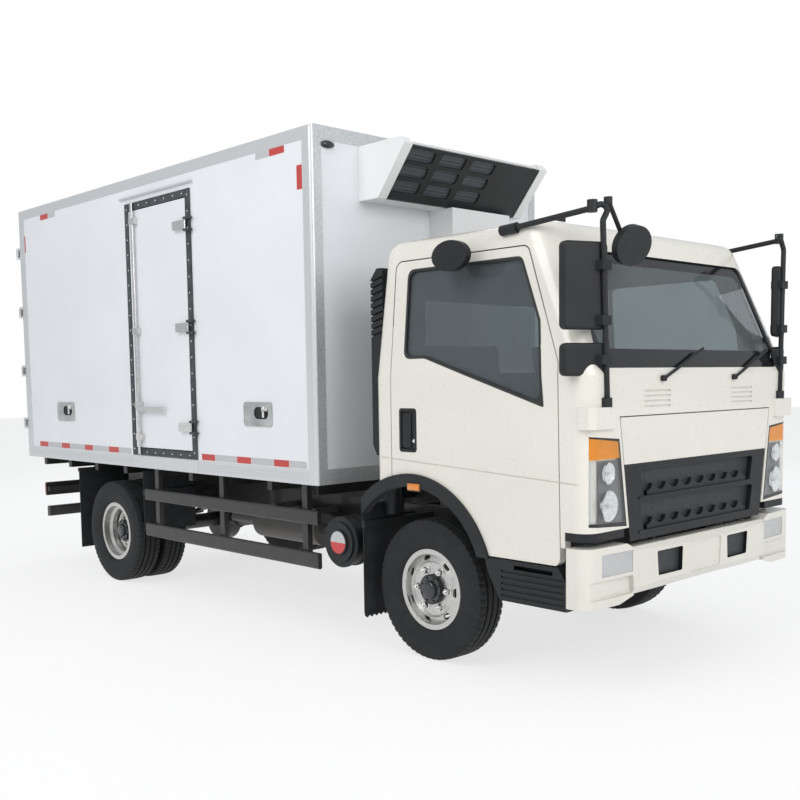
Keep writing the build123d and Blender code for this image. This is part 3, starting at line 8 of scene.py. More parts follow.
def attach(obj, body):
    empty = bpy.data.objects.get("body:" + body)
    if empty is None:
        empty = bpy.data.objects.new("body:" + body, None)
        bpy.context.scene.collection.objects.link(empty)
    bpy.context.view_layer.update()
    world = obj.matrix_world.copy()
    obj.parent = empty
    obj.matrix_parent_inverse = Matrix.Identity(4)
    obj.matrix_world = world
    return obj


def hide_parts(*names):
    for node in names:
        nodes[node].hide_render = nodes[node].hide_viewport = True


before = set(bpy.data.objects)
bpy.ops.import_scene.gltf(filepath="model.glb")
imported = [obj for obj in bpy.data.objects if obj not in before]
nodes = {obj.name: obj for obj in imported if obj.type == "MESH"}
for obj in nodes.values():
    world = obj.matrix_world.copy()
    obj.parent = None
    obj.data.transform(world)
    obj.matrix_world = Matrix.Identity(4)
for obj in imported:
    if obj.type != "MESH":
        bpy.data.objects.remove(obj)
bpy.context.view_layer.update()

# Camera: the photograph's viewpoint, on a 36 mm sensor
CAMERA_AT = (5.7442, -4.8089, 1.5372)
CAMERA_YAW = math.radians(136.46)
CAMERA_PITCH = math.radians(4.88)
CAMERA_ROLL = math.radians(-0.84)
CAMERA_LENS = 45.96
CAMERA_SHIFT = (-0.00125, 0.0821)


def camera():
    data = bpy.data.cameras.new("camera")
    data.lens = CAMERA_LENS
    data.sensor_width = 36.0
    data.sensor_fit = "HORIZONTAL"
    data.shift_x, data.shift_y = CAMERA_SHIFT
    data.clip_end = 200.0
    ahead = Vector((
        math.cos(CAMERA_YAW) * math.cos(CAMERA_PITCH),
        math.sin(CAMERA_YAW) * math.cos(CAMERA_PITCH),
        -math.sin(CAMERA_PITCH),
    ))
    right = Vector((math.sin(CAMERA_YAW), -math.cos(CAMERA_YAW), 0.0))
    up = right.cross(ahead)
    cosine, sine = math.cos(CAMERA_ROLL), math.sin(CAMERA_ROLL)
    right, up = cosine * right + sine * up, cosine * up - sine * right
    place = Matrix((right, up, -ahead)).transposed().to_4x4()
    place.translation = Vector(CAMERA_AT)
    seen = bpy.data.objects.new("camera", data)
    seen.matrix_world = place
    bpy.context.scene.collection.objects.link(seen)
    bpy.context.scene.camera = seen


# Materials: every one is made by nodes, with patterns in metres
def feed(tree, node, inputs):
    """Set a node's inputs; each is a plain value or the socket that feeds it."""
    for key, value in inputs.items():
        if isinstance(value, bpy.types.NodeSocket):
            tree.links.new(value, node.inputs[key])
        else:
            node.inputs[key].default_value = value
    return node


def add_node(tree, kind, inputs):
    return feed(tree, tree.nodes.new("ShaderNode" + kind), inputs)


def shader(name, colour, rough, metal=0.0, coat=0.0, coat_rough=0.05, specular=0.5):
    """A material with its principled shader; returns both and the node tree."""
    material = bpy.data.materials.new(name)
    material.use_nodes = True
    tree = material.node_tree
    surface = feed(tree, tree.nodes["Principled BSDF"], {
        "Base Color": (*colour, 1.0), "Roughness": rough, "Metallic": metal,
        "Coat Weight": coat, "Coat Roughness": coat_rough, "Specular IOR Level": specular})
    return material, surface, tree


def place_nodes(tree, scale=(1.0, 1.0, 1.0)):
    """Object coordinates, stretched by scale."""
    place = add_node(tree, "TexCoord", {}).outputs["Object"]
    return add_node(tree, "Mapping", {"Scale": scale, "Vector": place}).outputs["Vector"]


def noise(tree, vector, scale, detail=4.0, rough=0.55):
    return add_node(tree, "TexNoise", {
        "Scale": scale, "Detail": detail, "Roughness": rough, "Vector": vector}).outputs["Fac"]


def cells(tree, vector, scale, randomness=1.0):
    """The distance from the middle of cells, which stand in rows when randomness is 0."""
    return add_node(tree, "TexVoronoi", {
        "Scale": scale, "Randomness": randomness, "Vector": vector}).outputs["Distance"]


def wave(tree, vector, scale, direction):
    """Stripes that follow each other along a direction."""
    texture = add_node(tree, "TexWave", {"Scale": scale, "Vector": vector})
    texture.bands_direction = direction
    return texture.outputs["Fac"]


def ramp(tree, value, low, high, at=(0.35, 0.65)):
    """Turn a value into a colour between low and high."""
    blend = add_node(tree, "ValToRGB", {"Fac": value})
    for stop, place, colour in zip(blend.color_ramp.elements, at, (low, high)):
        stop.position = place
        stop.color = (*colour, 1.0)
    return blend.outputs["Color"]


def span(tree, value, low, high, start=0.0, end=1.0):
    """Turn a value between start and end into a number between low and high."""
    return add_node(tree, "MapRange", {
        "From Min": start, "From Max": end, "To Min": low, "To Max": high, "Value": value,
    }).outputs["Result"]


def maths(tree, operation, a, b=0.0, c=None):
    """One maths node; a, b and c are numbers or sockets."""
    given = {place: value for place, value in enumerate((a, b, c)) if value is not None}
    node = add_node(tree, "Math", given)
    node.operation = operation
    return node.outputs["Value"]


def axis_value(tree, vector, axis):
    return add_node(tree, "SeparateXYZ", {0: vector}).outputs[axis]


def mix_colours(tree, factor, low, high):
    blend = tree.nodes.new("ShaderNodeMix")
    blend.data_type = "RGBA"
    return feed(tree, blend, {"A": low, "B": high, "Factor": factor}).outputs["Result"]


def mix_shaders(tree, share, low, high, output="Material Output"):
    """Show high where share is 1 and low where it is 0."""
    mixed = add_node(tree, "MixShader", {"Fac": share, 1: low, 2: high})
    feed(tree, tree.nodes[output], {"Surface": mixed.outputs["Shader"]})


def bump(tree, surface, height, strength, distance):
    relief = add_node(tree, "Bump", {"Strength": strength, "Distance": distance, "Height": height})
    feed(tree, surface, {"Normal": relief.outputs["Normal"]})


def shade(colour, factor):
    return tuple(min(1.0, part * factor) for part in colour)


DUST = (0.33, 0.29, 0.23, 1.0)
DUST_HEIGHTS = (0.3, 1.3)


def paint(name, colour, rough=0.28, coat=0.6, dirt=0.0, ripple=0.05):
    """Sprayed paint: slight colour drift, orange peel, and dust low down when dirt is over 0."""
    material, surface, tree = shader(name, colour, rough, coat=coat, coat_rough=0.06)
    vector = place_nodes(tree)
    tint = ramp(tree, noise(tree, vector, 1.3, 5.0), shade(colour, 0.965), shade(colour, 1.02))
    if dirt > 0.0:
        low = span(tree, axis_value(tree, vector, "Z"), dirt, 0.0, *DUST_HEIGHTS)
        patch = maths(tree, "MULTIPLY", low, noise(tree, vector, 9.0, 6.0))
        tint = mix_colours(tree, patch, tint, DUST)
    feed(tree, surface, {
        "Base Color": tint,
        "Roughness": span(tree, noise(tree, vector, 24.0), rough * 0.85, rough * 1.2)})
    bump(tree, surface, noise(tree, vector, 150.0, 2.0), ripple * 0.5, 0.0003)
    return material


def plastic(name, colour, rough):
    """Moulded plastic with a fine leather grain."""
    material, surface, tree = shader(name, colour, rough, specular=0.4)
    vector = place_nodes(tree)
    mottle = noise(tree, vector, 6.0, 6.0)
    feed(tree, surface, {
        "Base Color": ramp(tree, mottle, shade(colour, 0.8), shade(colour, 1.25)),
        "Roughness": span(tree, noise(tree, vector, 30.0), rough * 0.85, min(rough * 1.2, 1.0))})
    bump(tree, surface, cells(tree, vector, 900.0), 0.25, 0.0005)
    return material


def metal(name, colour, rough, brushed=(1.0, 1.0, 1.0), depth=0.08, metallic=1.0):
    """Metal with a grain that brushed stretches along an axis."""
    material, surface, tree = shader(name, colour, rough, metal=metallic)
    grain = noise(tree, place_nodes(tree, brushed), 60.0, 5.0)
    feed(tree, surface, {
        "Base Color": ramp(tree, grain, shade(colour, 0.88), shade(colour, 1.05)),
        "Roughness": span(tree, grain, rough * 0.8, rough * 1.3)})
    bump(tree, surface, grain, depth, 0.0004)
    return material


def rubber(name, colour, rough=0.72):
    material, surface, tree = shader(name, colour, rough, specular=0.35)
    vector = place_nodes(tree)
    mottle = noise(tree, vector, 14.0, 8.0, 0.65)
    feed(tree, surface, {
        "Base Color": ramp(tree, mottle, shade(colour, 0.75), shade(colour, 1.6)),
        "Roughness": span(tree, mottle, rough * 0.85, rough * 1.15)})
    bump(tree, surface, noise(tree, vector, 600.0, 3.0), 0.12, 0.0004)
    return material


def glass(name, colour):
    """Tinted glass that lets light through almost without bending it."""
    rough = 0.01
    material, surface, tree = shader(name, colour, rough, coat=0.4, coat_rough=0.01)
    haze = noise(tree, place_nodes(tree), 7.0, 6.0)
    feed(tree, surface, {
        "Transmission Weight": 0.85, "IOR": 1.05,
        "Roughness": span(tree, haze, rough, rough + 0.02),
        "Base Color": ramp(tree, haze, shade(colour, 0.97), shade(colour, 1.03))})
    return material


def fabric(name, colour):
    """Woven cloth: two crossed sets of threads with a soft sheen."""
    pitch = 700.0
    material, surface, tree = shader(name, colour, 0.92, specular=0.2)
    vector = place_nodes(tree)
    threads = maths(
        tree, "MULTIPLY", wave(tree, vector, pitch, "Y"), wave(tree, vector, pitch, "DIAGONAL"))
    mottle = noise(tree, vector, 25.0, 6.0)
    feed(tree, surface, {
        "Sheen Weight": 0.4,
        "Base Color": ramp(tree, mottle, shade(colour, 0.8), shade(colour, 1.25))})
    bump(tree, surface, threads, 0.5, 0.0008)
    return material


def lamp_optics(name, colour):
    """A lens over a reflector: fluted, glossy and a little see-through."""
    material, surface, tree = shader(name, colour, 0.08, coat=1.0, coat_rough=0.02)
    flutes = wave(tree, place_nodes(tree), 260.0, "Y")
    feed(tree, surface, {
        "Transmission Weight": 0.25,
        "Base Color": ramp(tree, flutes, shade(colour, 0.72), shade(colour, 1.1), (0.1, 0.9))})
    bump(tree, surface, flutes, 0.5, 0.002)
    return material


CREAM = (0.76, 0.735, 0.665)
BOX_WHITE = (0.79, 0.805, 0.835)
M = {
    "cream": paint("cream_paint", CREAM, dirt=0.08),
    "cream_low": paint("cream_bumper_paint", shade(CREAM, 0.97), rough=0.33, dirt=0.12),
    "box": paint("box_gel_coat", BOX_WHITE, rough=0.3, coat=0.35, dirt=0.15, ripple=0.03),
    "rail": metal("box_rail_aluminium", (0.70, 0.72, 0.73), 0.34, (40.0, 1.0, 1.0), metallic=0.55),
    "fridge": paint("fridge_cover", (0.83, 0.84, 0.845), rough=0.35, coat=0.2),
    "black_paint": paint(
        "black_chassis_paint", (0.008, 0.009, 0.011), rough=0.42, coat=0.2, dirt=0.12),
    "black": plastic("black_plastic", (0.010, 0.011, 0.013), 0.48),
    "black_gloss": paint("black_gloss", (0.010, 0.011, 0.014), rough=0.18, coat=0.6),
    "grey": plastic("interior_plastic", (0.10, 0.105, 0.11), 0.62),
    "rubber": rubber("dark_rubber", (0.022, 0.024, 0.027)),
    "flap": rubber("flap_rubber", (0.016, 0.017, 0.019)),
    "tyre": rubber("tyre_rubber", (0.011, 0.0115, 0.0125), 0.66),
    "gasket": rubber("gasket_rubber", (0.045, 0.055, 0.058), 0.6),
    "silver": metal("wheel_silver", (0.60, 0.60, 0.58), 0.30, depth=0.05, metallic=0.85),
    "chrome": metal("stainless", (0.72, 0.72, 0.71), 0.14, depth=0.03),
    "iron": metal("raw_iron", (0.14, 0.135, 0.13), 0.55, depth=0.3, metallic=0.7),
    "aluminium": metal("tank_aluminium", (0.55, 0.56, 0.57), 0.36, (1.0, 1.0, 30.0)),
    "glass": glass("tinted_glass", (0.36, 0.41, 0.43)),
    "lens": lamp_optics("clear_lens", (0.80, 0.81, 0.82)),
    "amber": lamp_optics("amber_lens", (0.86, 0.27, 0.02)),
    "red_lens": lamp_optics("red_lens", (0.60, 0.02, 0.015)),
    "seat": fabric("seat_cloth", (0.085, 0.09, 0.10)),
    "tape_red": paint("tape_red", (0.52, 0.045, 0.035), rough=0.4, coat=0.3),
    "tape_white": paint("tape_white", (0.50, 0.50, 0.51), rough=0.4, coat=0.3),
    "red": paint("red_paint", (0.55, 0.03, 0.025), rough=0.35),
    "lamp_dark": plastic("lamp_housing", (0.10, 0.105, 0.11), 0.3),
    "mirror": metal("mirror_face", (0.75, 0.77, 0.78), 0.04, depth=0.0),
}

# The CAD nodes that wear each look
NODES_WITH_LOOK = {
    "black_paint": "chassis_frame front_axle rear_axle side_guards rear_underrun tie_rod",
    "iron": "driveline exhaust knuckle_right knuckle_left",
    "aluminium": "fuel_tank",
    "black": "air_cleaner battery_box fridge_grille mirrors kerb_mirror wipers intake_stack "
        "cab_skirts grille steering_wheel",
    "flap": "mudguards",
    "cream_low": "front_bumper",
    "lens": "chassis_lamps headlamps",
    "box": "box_floor box_side_walls box_front_wall box_roof side_door rear_door_right "
        "rear_door_left",
    "rail": "box_frame",
    "gasket": "side_door_frame",
    "fridge": "fridge_unit",
    "cream": "cab_shell cab_door_right cab_door_left front_lid",
    "grey": "cab_floor dashboard",
    "glass": "cab_glass door_glass_right door_glass_left",
    "seat": "seats",
    "tyre": "tyre_front_right tyre_front_left tyres_rear_right tyres_rear_left",
    "silver": "rim_front_right rim_front_left rims_rear_right rims_rear_left",
    "chrome": "side_door_fittings rear_fittings_right rear_fittings_left",
}


def dress_nodes():
    for look, names in NODES_WITH_LOOK.items():
        for name in names.split():
            look_all(name, look)


# Mesh helpers: pieces are built as meshes in metres, in the frame of the truck
def piece(name, mesh, look, body, smooth=None):
    """A mesh as a finished piece: material, body, and smooth shading below an angle in degrees."""
    made = bpy.data.objects.new(name, mesh)
    bpy.context.scene.collection.objects.link(made)
    looks = look if isinstance(look, (list, tuple)) else [look]
    for each in looks:
        mesh.materials.append(M[each])
    if smooth is not None:
        mesh.shade_smooth()
        mesh.set_sharp_from_angle(angle=math.radians(smooth))
    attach(made, body)
    return made


def mesh_of(build, name="mesh"):
    """The mesh that build fills in."""
    made = bmesh.new()
    build(made)
    bmesh.ops.recalc_face_normals(made, faces=made.faces)
    mesh = bpy.data.meshes.new(name)
    made.to_mesh(mesh)
    made.free()
    return mesh


def bridge(made, rings, look=0, smooth=False):
    """Faces between each closed ring of points and the next."""
    for low, high in zip(rings, rings[1:]):
        for k in range(len(low)):
            after = (k + 1) % len(low)
            face = made.faces.new((low[k], low[after], high[after], high[k]))
            face.material_index = look
            face.smooth = smooth


def add_prism(made, near_points, far_points):
    """A closed solid between two outlines with as many points each."""
    near = [made.verts.new(point) for point in near_points]
    far = [made.verts.new(point) for point in far_points]
    made.faces.new(near)
    made.faces.new(far[::-1])
    for k in range(len(near)):
        after = (k + 1) % len(near)
        made.faces.new((near[k], far[k], far[after], near[after]))


def ellipse_ring(made, x, y, z, half_y, half_z, sides):
    """The points of an ellipse that faces forward."""
    ring = []
    for k in range(sides):
        angle = 2 * math.pi * k / sides
        ring.append(made.verts.new((x, y + half_y * math.cos(angle), z + half_z * math.sin(angle))))
    return ring


def add_ring(made, x, y, z, profile, sides):
    """Revolve (along Y, radius) points about the wheel's axis."""
    rings = []
    for along, radius in profile:
        ring = []
        for step in range(sides):
            angle = 2 * math.pi * step / sides
            ring.append(made.verts.new((
                x + radius * math.sin(angle), y + along, z + radius * math.cos(angle))))
        rings.append(ring)
    bridge(made, rings, smooth=True)
    return rings


def add_box(made, low, high, round_by=0.0, look=0):
    """A box, its edges rounded by round_by."""
    size = [b - a for a, b in zip(low, high)]
    middle = [(a + b) / 2 for a, b in zip(low, high)]
    verts = bmesh.ops.create_cube(made, size=1.0)["verts"]
    bmesh.ops.scale(made, vec=size, verts=verts)
    bmesh.ops.translate(made, vec=middle, verts=verts)
    for face in {face for vert in verts for face in vert.link_faces}:
        face.material_index = look
    if round_by > 0.0:
        edges = list({edge for vert in verts for edge in vert.link_edges})
        bevelled = bmesh.ops.bevel(
            made, geom=edges, offset=round_by, segments=2, profile=0.5, affect="EDGES",
            material=look)
        for face in bevelled["faces"]:
            face.smooth = True


def add_side_box(made, side, x_span, y_span, z_span, round_by=0.0):
    """A box on one side of the truck; y_span is counted outwards from the middle."""
    low_y, high_y = sorted((side * y_span[0], side * y_span[1]))
    add_box(made, (x_span[0], low_y, z_span[0]), (x_span[1], high_y, z_span[1]), round_by)


# Tyres: a rounded carcass with grooves round it and blocks on the shoulder
TYRE_RADIUS = 0.389
TYRE_HALF = 0.098
FLANGE_RADIUS = 0.222
FRONT_AXLE_X = 1.8675
REAR_AXLE_X = -1.4925
AXLE_Z = 0.389
FRONT_WHEEL_Y = 0.842
REAR_OUTER_Y = 0.920
REAR_INNER_Y = 0.694
TREAD_PITCHES = 60
STEPS_PER_PITCH = 4
GROOVE_DEPTH = 0.011
SHOULDER_CUT = 0.007
# The tyre's side: (share of its half width, height over the flange), then the shoulder's foot
SIDE_WALL = (
    (0.60, -0.004), (0.80, 0.006), (0.90, 0.022), (0.925, 0.030), (0.925, 0.034), (0.96, 0.050),
    (0.995, 0.080), (1.0, 0.092), (0.99, 0.112), (0.965, 0.122), (0.975, 0.126))
SHOULDER_FOOT = (0.93, -0.022)

# Each set of wheels: how its names end, its axle, its side, and its tyres from the outside in
WHEELS = (
    ("_front_right", FRONT_AXLE_X, -1, (FRONT_WHEEL_Y,)),
    ("_front_left", FRONT_AXLE_X, 1, (FRONT_WHEEL_Y,)),
    ("s_rear_right", REAR_AXLE_X, -1, (REAR_OUTER_Y, REAR_INNER_Y)),
    ("s_rear_left", REAR_AXLE_X, 1, (REAR_OUTER_Y, REAR_INNER_Y)),
)


def tyre_mesh(x, ys):
    half = TYRE_HALF
    side = [(-half * share, FLANGE_RADIUS + rise) for share, rise in SIDE_WALL]
    side.append((-half * SHOULDER_FOOT[0], TYRE_RADIUS + SHOULDER_FOOT[1]))
    across = [(-0.90, -0.008), (-0.80, -0.003)]
    for middle in (-0.42, 0.0, 0.42):
        across += [(middle - 0.065, -0.0005), (middle - 0.05, -GROOVE_DEPTH),
                   (middle + 0.05, -GROOVE_DEPTH), (middle + 0.065, -0.0005)]
    across += [(0.80, -0.003), (0.90, -0.008)]
    crown = [(half * share, TYRE_RADIUS + rise) for share, rise in across]
    profile = side + crown + [(-along, radius) for along, radius in reversed(side)]
    # The rings from the foot of one shoulder to that of the other; three on each are cut
    first, last = len(side) - 1, len(side) + len(crown)

    def build(made):
        for y in ys:
            rings = add_ring(made, x, y, AXLE_Z, profile, TREAD_PITCHES * STEPS_PER_PITCH)
            for ring in rings[first:first + 3] + rings[last - 2:last + 1]:
                for vert in ring[::STEPS_PER_PITCH]:
                    radial = Vector((vert.co.x - x, 0.0, vert.co.z - AXLE_Z)).normalized()
                    vert.co -= radial * SHOULDER_CUT

    return mesh_of(build, "tyre")


def tyres():
    for ending, x, out, ys in WHEELS:
        mesh = tyre_mesh(x, [out * y for y in ys])
        made = piece(
            "tyre%s_treaded" % ending, mesh, "tyre", "wheel" + ending, smooth=35)
        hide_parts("tyre" + ending)


# Looks that depend on the place: masks worked out from object coordinates, in metres
def outside_outline(tree, vector, axes, corners, soft=0.0015):
    """1 outside a convex outline, 0 inside; corners run counter-clockwise in the two axes."""
    across = axis_value(tree, vector, axes[0])
    along = axis_value(tree, vector, axes[1])
    far = None
    for (a0, a1), (b0, b1) in zip(corners, corners[1:] + corners[:1]):
        length = math.hypot(b0 - a0, b1 - a1)
        n0, n1 = (b1 - a1) / length, (a0 - b0) / length
        side = maths(tree, "MULTIPLY_ADD", along, n1, maths(
            tree, "MULTIPLY_ADD", across, n0, -(a0 * n0 + a1 * n1)))
        far = side if far is None else maths(tree, "MAXIMUM", far, side)
    return span(tree, far, 0.0, 1.0, -soft, soft)


def rounded_corners(corners, radius, steps=4):
    """A convex outline with each corner replaced by a short arc of points."""
    made = []
    count = len(corners)
    for number in range(count):
        before = Vector(corners[number - 1])
        at = Vector(corners[number])
        after = Vector(corners[(number + 1) % count])
        run_in = (before - at).normalized()
        run_out = (after - at).normalized()
        half = run_in.angle(run_out) / 2
        room = min((before - at).length, (after - at).length)
        reach = min(radius / math.tan(half), room * 0.45)
        start, end = at + run_in * reach, at + run_out * reach
        for step in range(steps + 1):
            t = step / steps
            made.append(tuple((1 - t) ** 2 * start + 2 * t * (1 - t) * at + t * t * end))
    return made


skins = {}


def front_of(node, y, z):
    """How far forward a node reaches at a place in the front view."""
    if node not in skins:
        mesh = nodes[node].data
        skins[node] = BVHTree.FromPolygons(
            [vert.co for vert in mesh.vertices], [tuple(face.vertices) for face in mesh.polygons])
    return skins[node].ray_cast(Vector((4.0, y, z)), Vector((-1.0, 0.0, 0.0)))[0].x


def overlay(material, mask_of, colour, rough):
    """Lay a second plain look over a material where the mask is 1."""
    tree = material.node_tree
    vector = place_nodes(tree)
    mask = mask_of(tree, vector)
    grain = noise(tree, vector, 60.0, 4.0)
    over = add_node(tree, "BsdfPrincipled", {
        "Base Color": ramp(tree, grain, shade(colour, 0.85), shade(colour, 1.2)),
        "Roughness": span(tree, grain, rough * 0.9, rough * 1.1)})
    mix_shaders(tree, mask, tree.nodes["Principled BSDF"].outputs[0], over.outputs[0])
    return material


def look_all(node, look):
    """Give a CAD node one material."""
    nodes[node].data.materials.clear()
    nodes[node].data.materials.append(M[look])


def look_by_face(node, looks, choose):
    """Give a CAD node several materials; choose(centre, normal) returns one of the looks."""
    mesh = nodes[node].data
    mesh.materials.clear()
    for name in looks:
        mesh.materials.append(M[name])
    for face in mesh.polygons:
        face.material_index = looks.index(choose(face.center, face.normal))


# The windows' outlines, which the CAD uses too, and the box's side face, in metres
WINDOW_UPPER = [(1.757, 1.655), (2.668, 1.655), (2.655, 1.800), (2.525, 2.105), (1.757, 2.105)]
WINDOW_LOWER = [(1.900, 1.656), (2.690, 1.410), (2.667, 1.660)]
WINDOW_RUBBER = 0.015
PANEL_Y = 1.021


def grown(corners, by):
    """A convex outline moved outwards by a distance; counter-clockwise corners."""
    made = []
    count = len(corners)
    for number in range(count):
        before, at, after = (Vector(corners[(number + k) % count]) for k in (-1, 0, 1))
        first = (at - before).normalized()
        second = (after - at).normalized()
        out_first = Vector((first.y, -first.x))
        out_second = Vector((second.y, -second.x))
        middle = (out_first + out_second).normalized()
        made.append(tuple(at + middle * (by / middle.dot(out_first))))
    return made


def screen_looks():
    """The bonded glass: a black band round the windscreen, clear elsewhere."""
    inner = [(-0.828, 1.664), (0.828, 1.664), (0.752, 2.094), (-0.752, 2.094)]

    def band(tree, vector):
        around = outside_outline(tree, vector, ("Y", "Z"), rounded_corners(inner, 0.07), 0.002)
        ahead = maths(tree, "GREATER_THAN", axis_value(tree, vector, "X"), 2.0)
        return maths(tree, "MULTIPLY", around, ahead)

    M["screen"] = overlay(
        glass("screen_glass", (0.42, 0.47, 0.48)), band, (0.012, 0.013, 0.015), 0.10)
    look_all("cab_glass", "screen")


def door_looks():
    """Cream doors with a black rubber round the window, and black inside."""

    def round_window(tree, vector):
        outside = [
            outside_outline(
                tree, vector, ("X", "Z"), rounded_corners(grown(outline, WINDOW_RUBBER), corner))
            for outline, corner in ((WINDOW_UPPER, 0.05), (WINDOW_LOWER, 0.01))]
        return maths(tree, "SUBTRACT", 1.0, maths(tree, "MINIMUM", *outside))

    M["door"] = overlay(
        paint("door_paint", CREAM, dirt=0.08), round_window, (0.018, 0.019, 0.021), 0.5)
    for name, side in (("cab_door_right", -1), ("cab_door_left", 1)):
        look_by_face(name, ["door", "grey"], lambda centre, normal, side=side: (
            "grey" if normal.y * side < -0.4 else "door"))


def inside_looks():
    """The cab's inner faces are trimmed in grey."""
    middle = Vector((2.2, 0.0, 1.5))

    def choose(centre, normal):
        inner = 1.55 < centre.x < 2.923 and abs(centre.y) < 0.943 and 0.66 < centre.z < 2.25
        return "grey" if inner and normal.dot(centre - middle) < 0.0 else "cream"

    look_by_face("cab_shell", ["cream", "grey"], choose)


# How far each axle's discs and hubs stand out from the middle of the outer tyre
DISC_FACE = {FRONT_AXLE_X: 0.052, REAR_AXLE_X: -0.036}
HUB_RISE = {FRONT_AXLE_X: 0.022, REAR_AXLE_X: 0.055}
STUDS = 6
STUD_CIRCLE = 0.1111
HUB_BOLTS = 8
HUB_BOLT_CIRCLE = 0.066


def wheel_looks():
    """Silver discs with a dark hub, bright nuts and black drums."""
    for ending, x, out, ys in WHEELS:
        def choose(centre, normal, x=x, y=out * ys[0], out=out, face=DISC_FACE[x]):
            radius = math.hypot(centre.x - x, centre.z - AXLE_Z)
            depth = out * (centre.y - y)
            if radius < 0.084:
                return "black"
            if 0.090 < radius < 0.132 and depth > face + 0.002:
                return "chrome"
            if radius < 0.158 and depth < face - 0.011:
                return "iron"
            return "silver"

        look_by_face("rim" + ending, ["silver", "black", "chrome", "iron"], choose)


def wheel_trim():
    """Nut washers, studs and a hub cap with bolts on each outer wheel."""
    for ending, x, out, ys in WHEELS:
        body = "wheel" + ending
        face = DISC_FACE[x]

        def studs(made, x=x, y=out * ys[0], out=out, face=face):
            for number in range(STUDS):
                angle = 2 * math.pi * number / STUDS
                at = (x + STUD_CIRCLE * math.cos(angle), y + out * face,
                      AXLE_Z - STUD_CIRCLE * math.sin(angle))
                add_ring(made, *at, [(0.0, 0.024), (out * 0.003, 0.024), (out * 0.005, 0.019)], 20)
                add_ring(made, *at, [
                    (out * 0.021, 0.0155), (out * 0.0225, 0.0125), (out * 0.0225, 0.009),
                    (out * 0.033, 0.009), (out * 0.0345, 0.0072), (out * 0.0345, 0.0005)], 20)

        piece(body + "_studs", mesh_of(studs), "chrome", body, smooth=40)

        def cap(made, x=x, at=out * ys[0] + out * (face + HUB_RISE[x]), out=out):
            add_ring(made, x, at, AXLE_Z, [
                (-out * 0.002, 0.078), (out * 0.004, 0.076), (out * 0.006, 0.060),
                (out * 0.006, 0.052), (out * 0.020, 0.050), (out * 0.026, 0.044),
                (out * 0.028, 0.030), (out * 0.0285, 0.0005)], 40)
            for number in range(HUB_BOLTS):
                angle = 2 * math.pi * (number + 0.5) / HUB_BOLTS
                add_ring(
                    made, x + HUB_BOLT_CIRCLE * math.cos(angle), at,
                    AXLE_Z + HUB_BOLT_CIRCLE * math.sin(angle),
                    [(out * 0.004, 0.0075), (out * 0.011, 0.0075), (out * 0.012, 0.006),
                     (out * 0.012, 0.0004)], 6)

        piece(body + "_hub_cap", mesh_of(cap), "black_gloss", body, smooth=40)


# Tape on the box's sides: the heights of the low row, the high corners and the upright pieces
TAPE = 0.0007
TAPE_GAP = 0.004
LOW_TAPE = (1.006, 1.048)
HIGH_TAPE = (2.885, 2.927)
UPRIGHT_TAPE = (2.650, 2.790)
LOW_REDS = ((-2.729, -2.573), (-2.318, -2.173), (-1.909, -1.773), (-1.511, -1.354),
            (-0.202, -0.044), (0.213, 0.368), (0.613, 0.766))


def box_trim():
    """Red and white tape on the box's sides."""
    red = [(x_span, LOW_TAPE) for x_span in LOW_REDS] + [
        ((0.905, 0.955), UPRIGHT_TAPE), ((-2.895, -2.845), UPRIGHT_TAPE),
        ((0.640, 0.790), HIGH_TAPE), ((-2.540, -2.400), HIGH_TAPE)]
    white = [
        ((before[1] + TAPE_GAP, after[0] - TAPE_GAP), LOW_TAPE)
        for before, after in zip(LOW_REDS, LOW_REDS[1:]) if after[0] - before[1] < 0.5]
    white += [((-1.350, -1.160), LOW_TAPE), ((0.770, 0.940), LOW_TAPE),
              ((0.500, 0.636), HIGH_TAPE), ((-2.396, -2.270), HIGH_TAPE)]
    for look, strips in (("tape_red", red), ("tape_white", white)):
        def build(made, strips=strips):
            for side in (-1, 1):
                for x_span, z_span in strips:
                    add_side_box(made, side, x_span, (PANEL_Y, PANEL_Y + TAPE), z_span)

        piece(look + "_strips", mesh_of(build), look, "chassis")


def add_dome(made, at, axis, radius, height, sides=10, look=0):
    """A round head standing on a surface; axis is a unit vector along X, Y or Z."""
    axis = Vector(axis)
    across = Vector((axis.y, axis.z, axis.x))
    along = axis.cross(across)
    at = Vector(at)
    rings = []
    for rise, share in ((0.0, 1.0), (0.55, 0.86), (0.9, 0.5)):
        rings.append([
            made.verts.new(at + axis * rise * height + (
                across * math.cos(2 * math.pi * k / sides)
                + along * math.sin(2 * math.pi * k / sides)) * radius * share)
            for k in range(sides)])
    top = made.verts.new(at + axis * height)
    bridge(made, rings, look, smooth=True)
    for k in range(sides):
        face = made.faces.new((rings[-1][k], rings[-1][(k + 1) % sides], top))
        face.smooth = True
        face.material_index = look


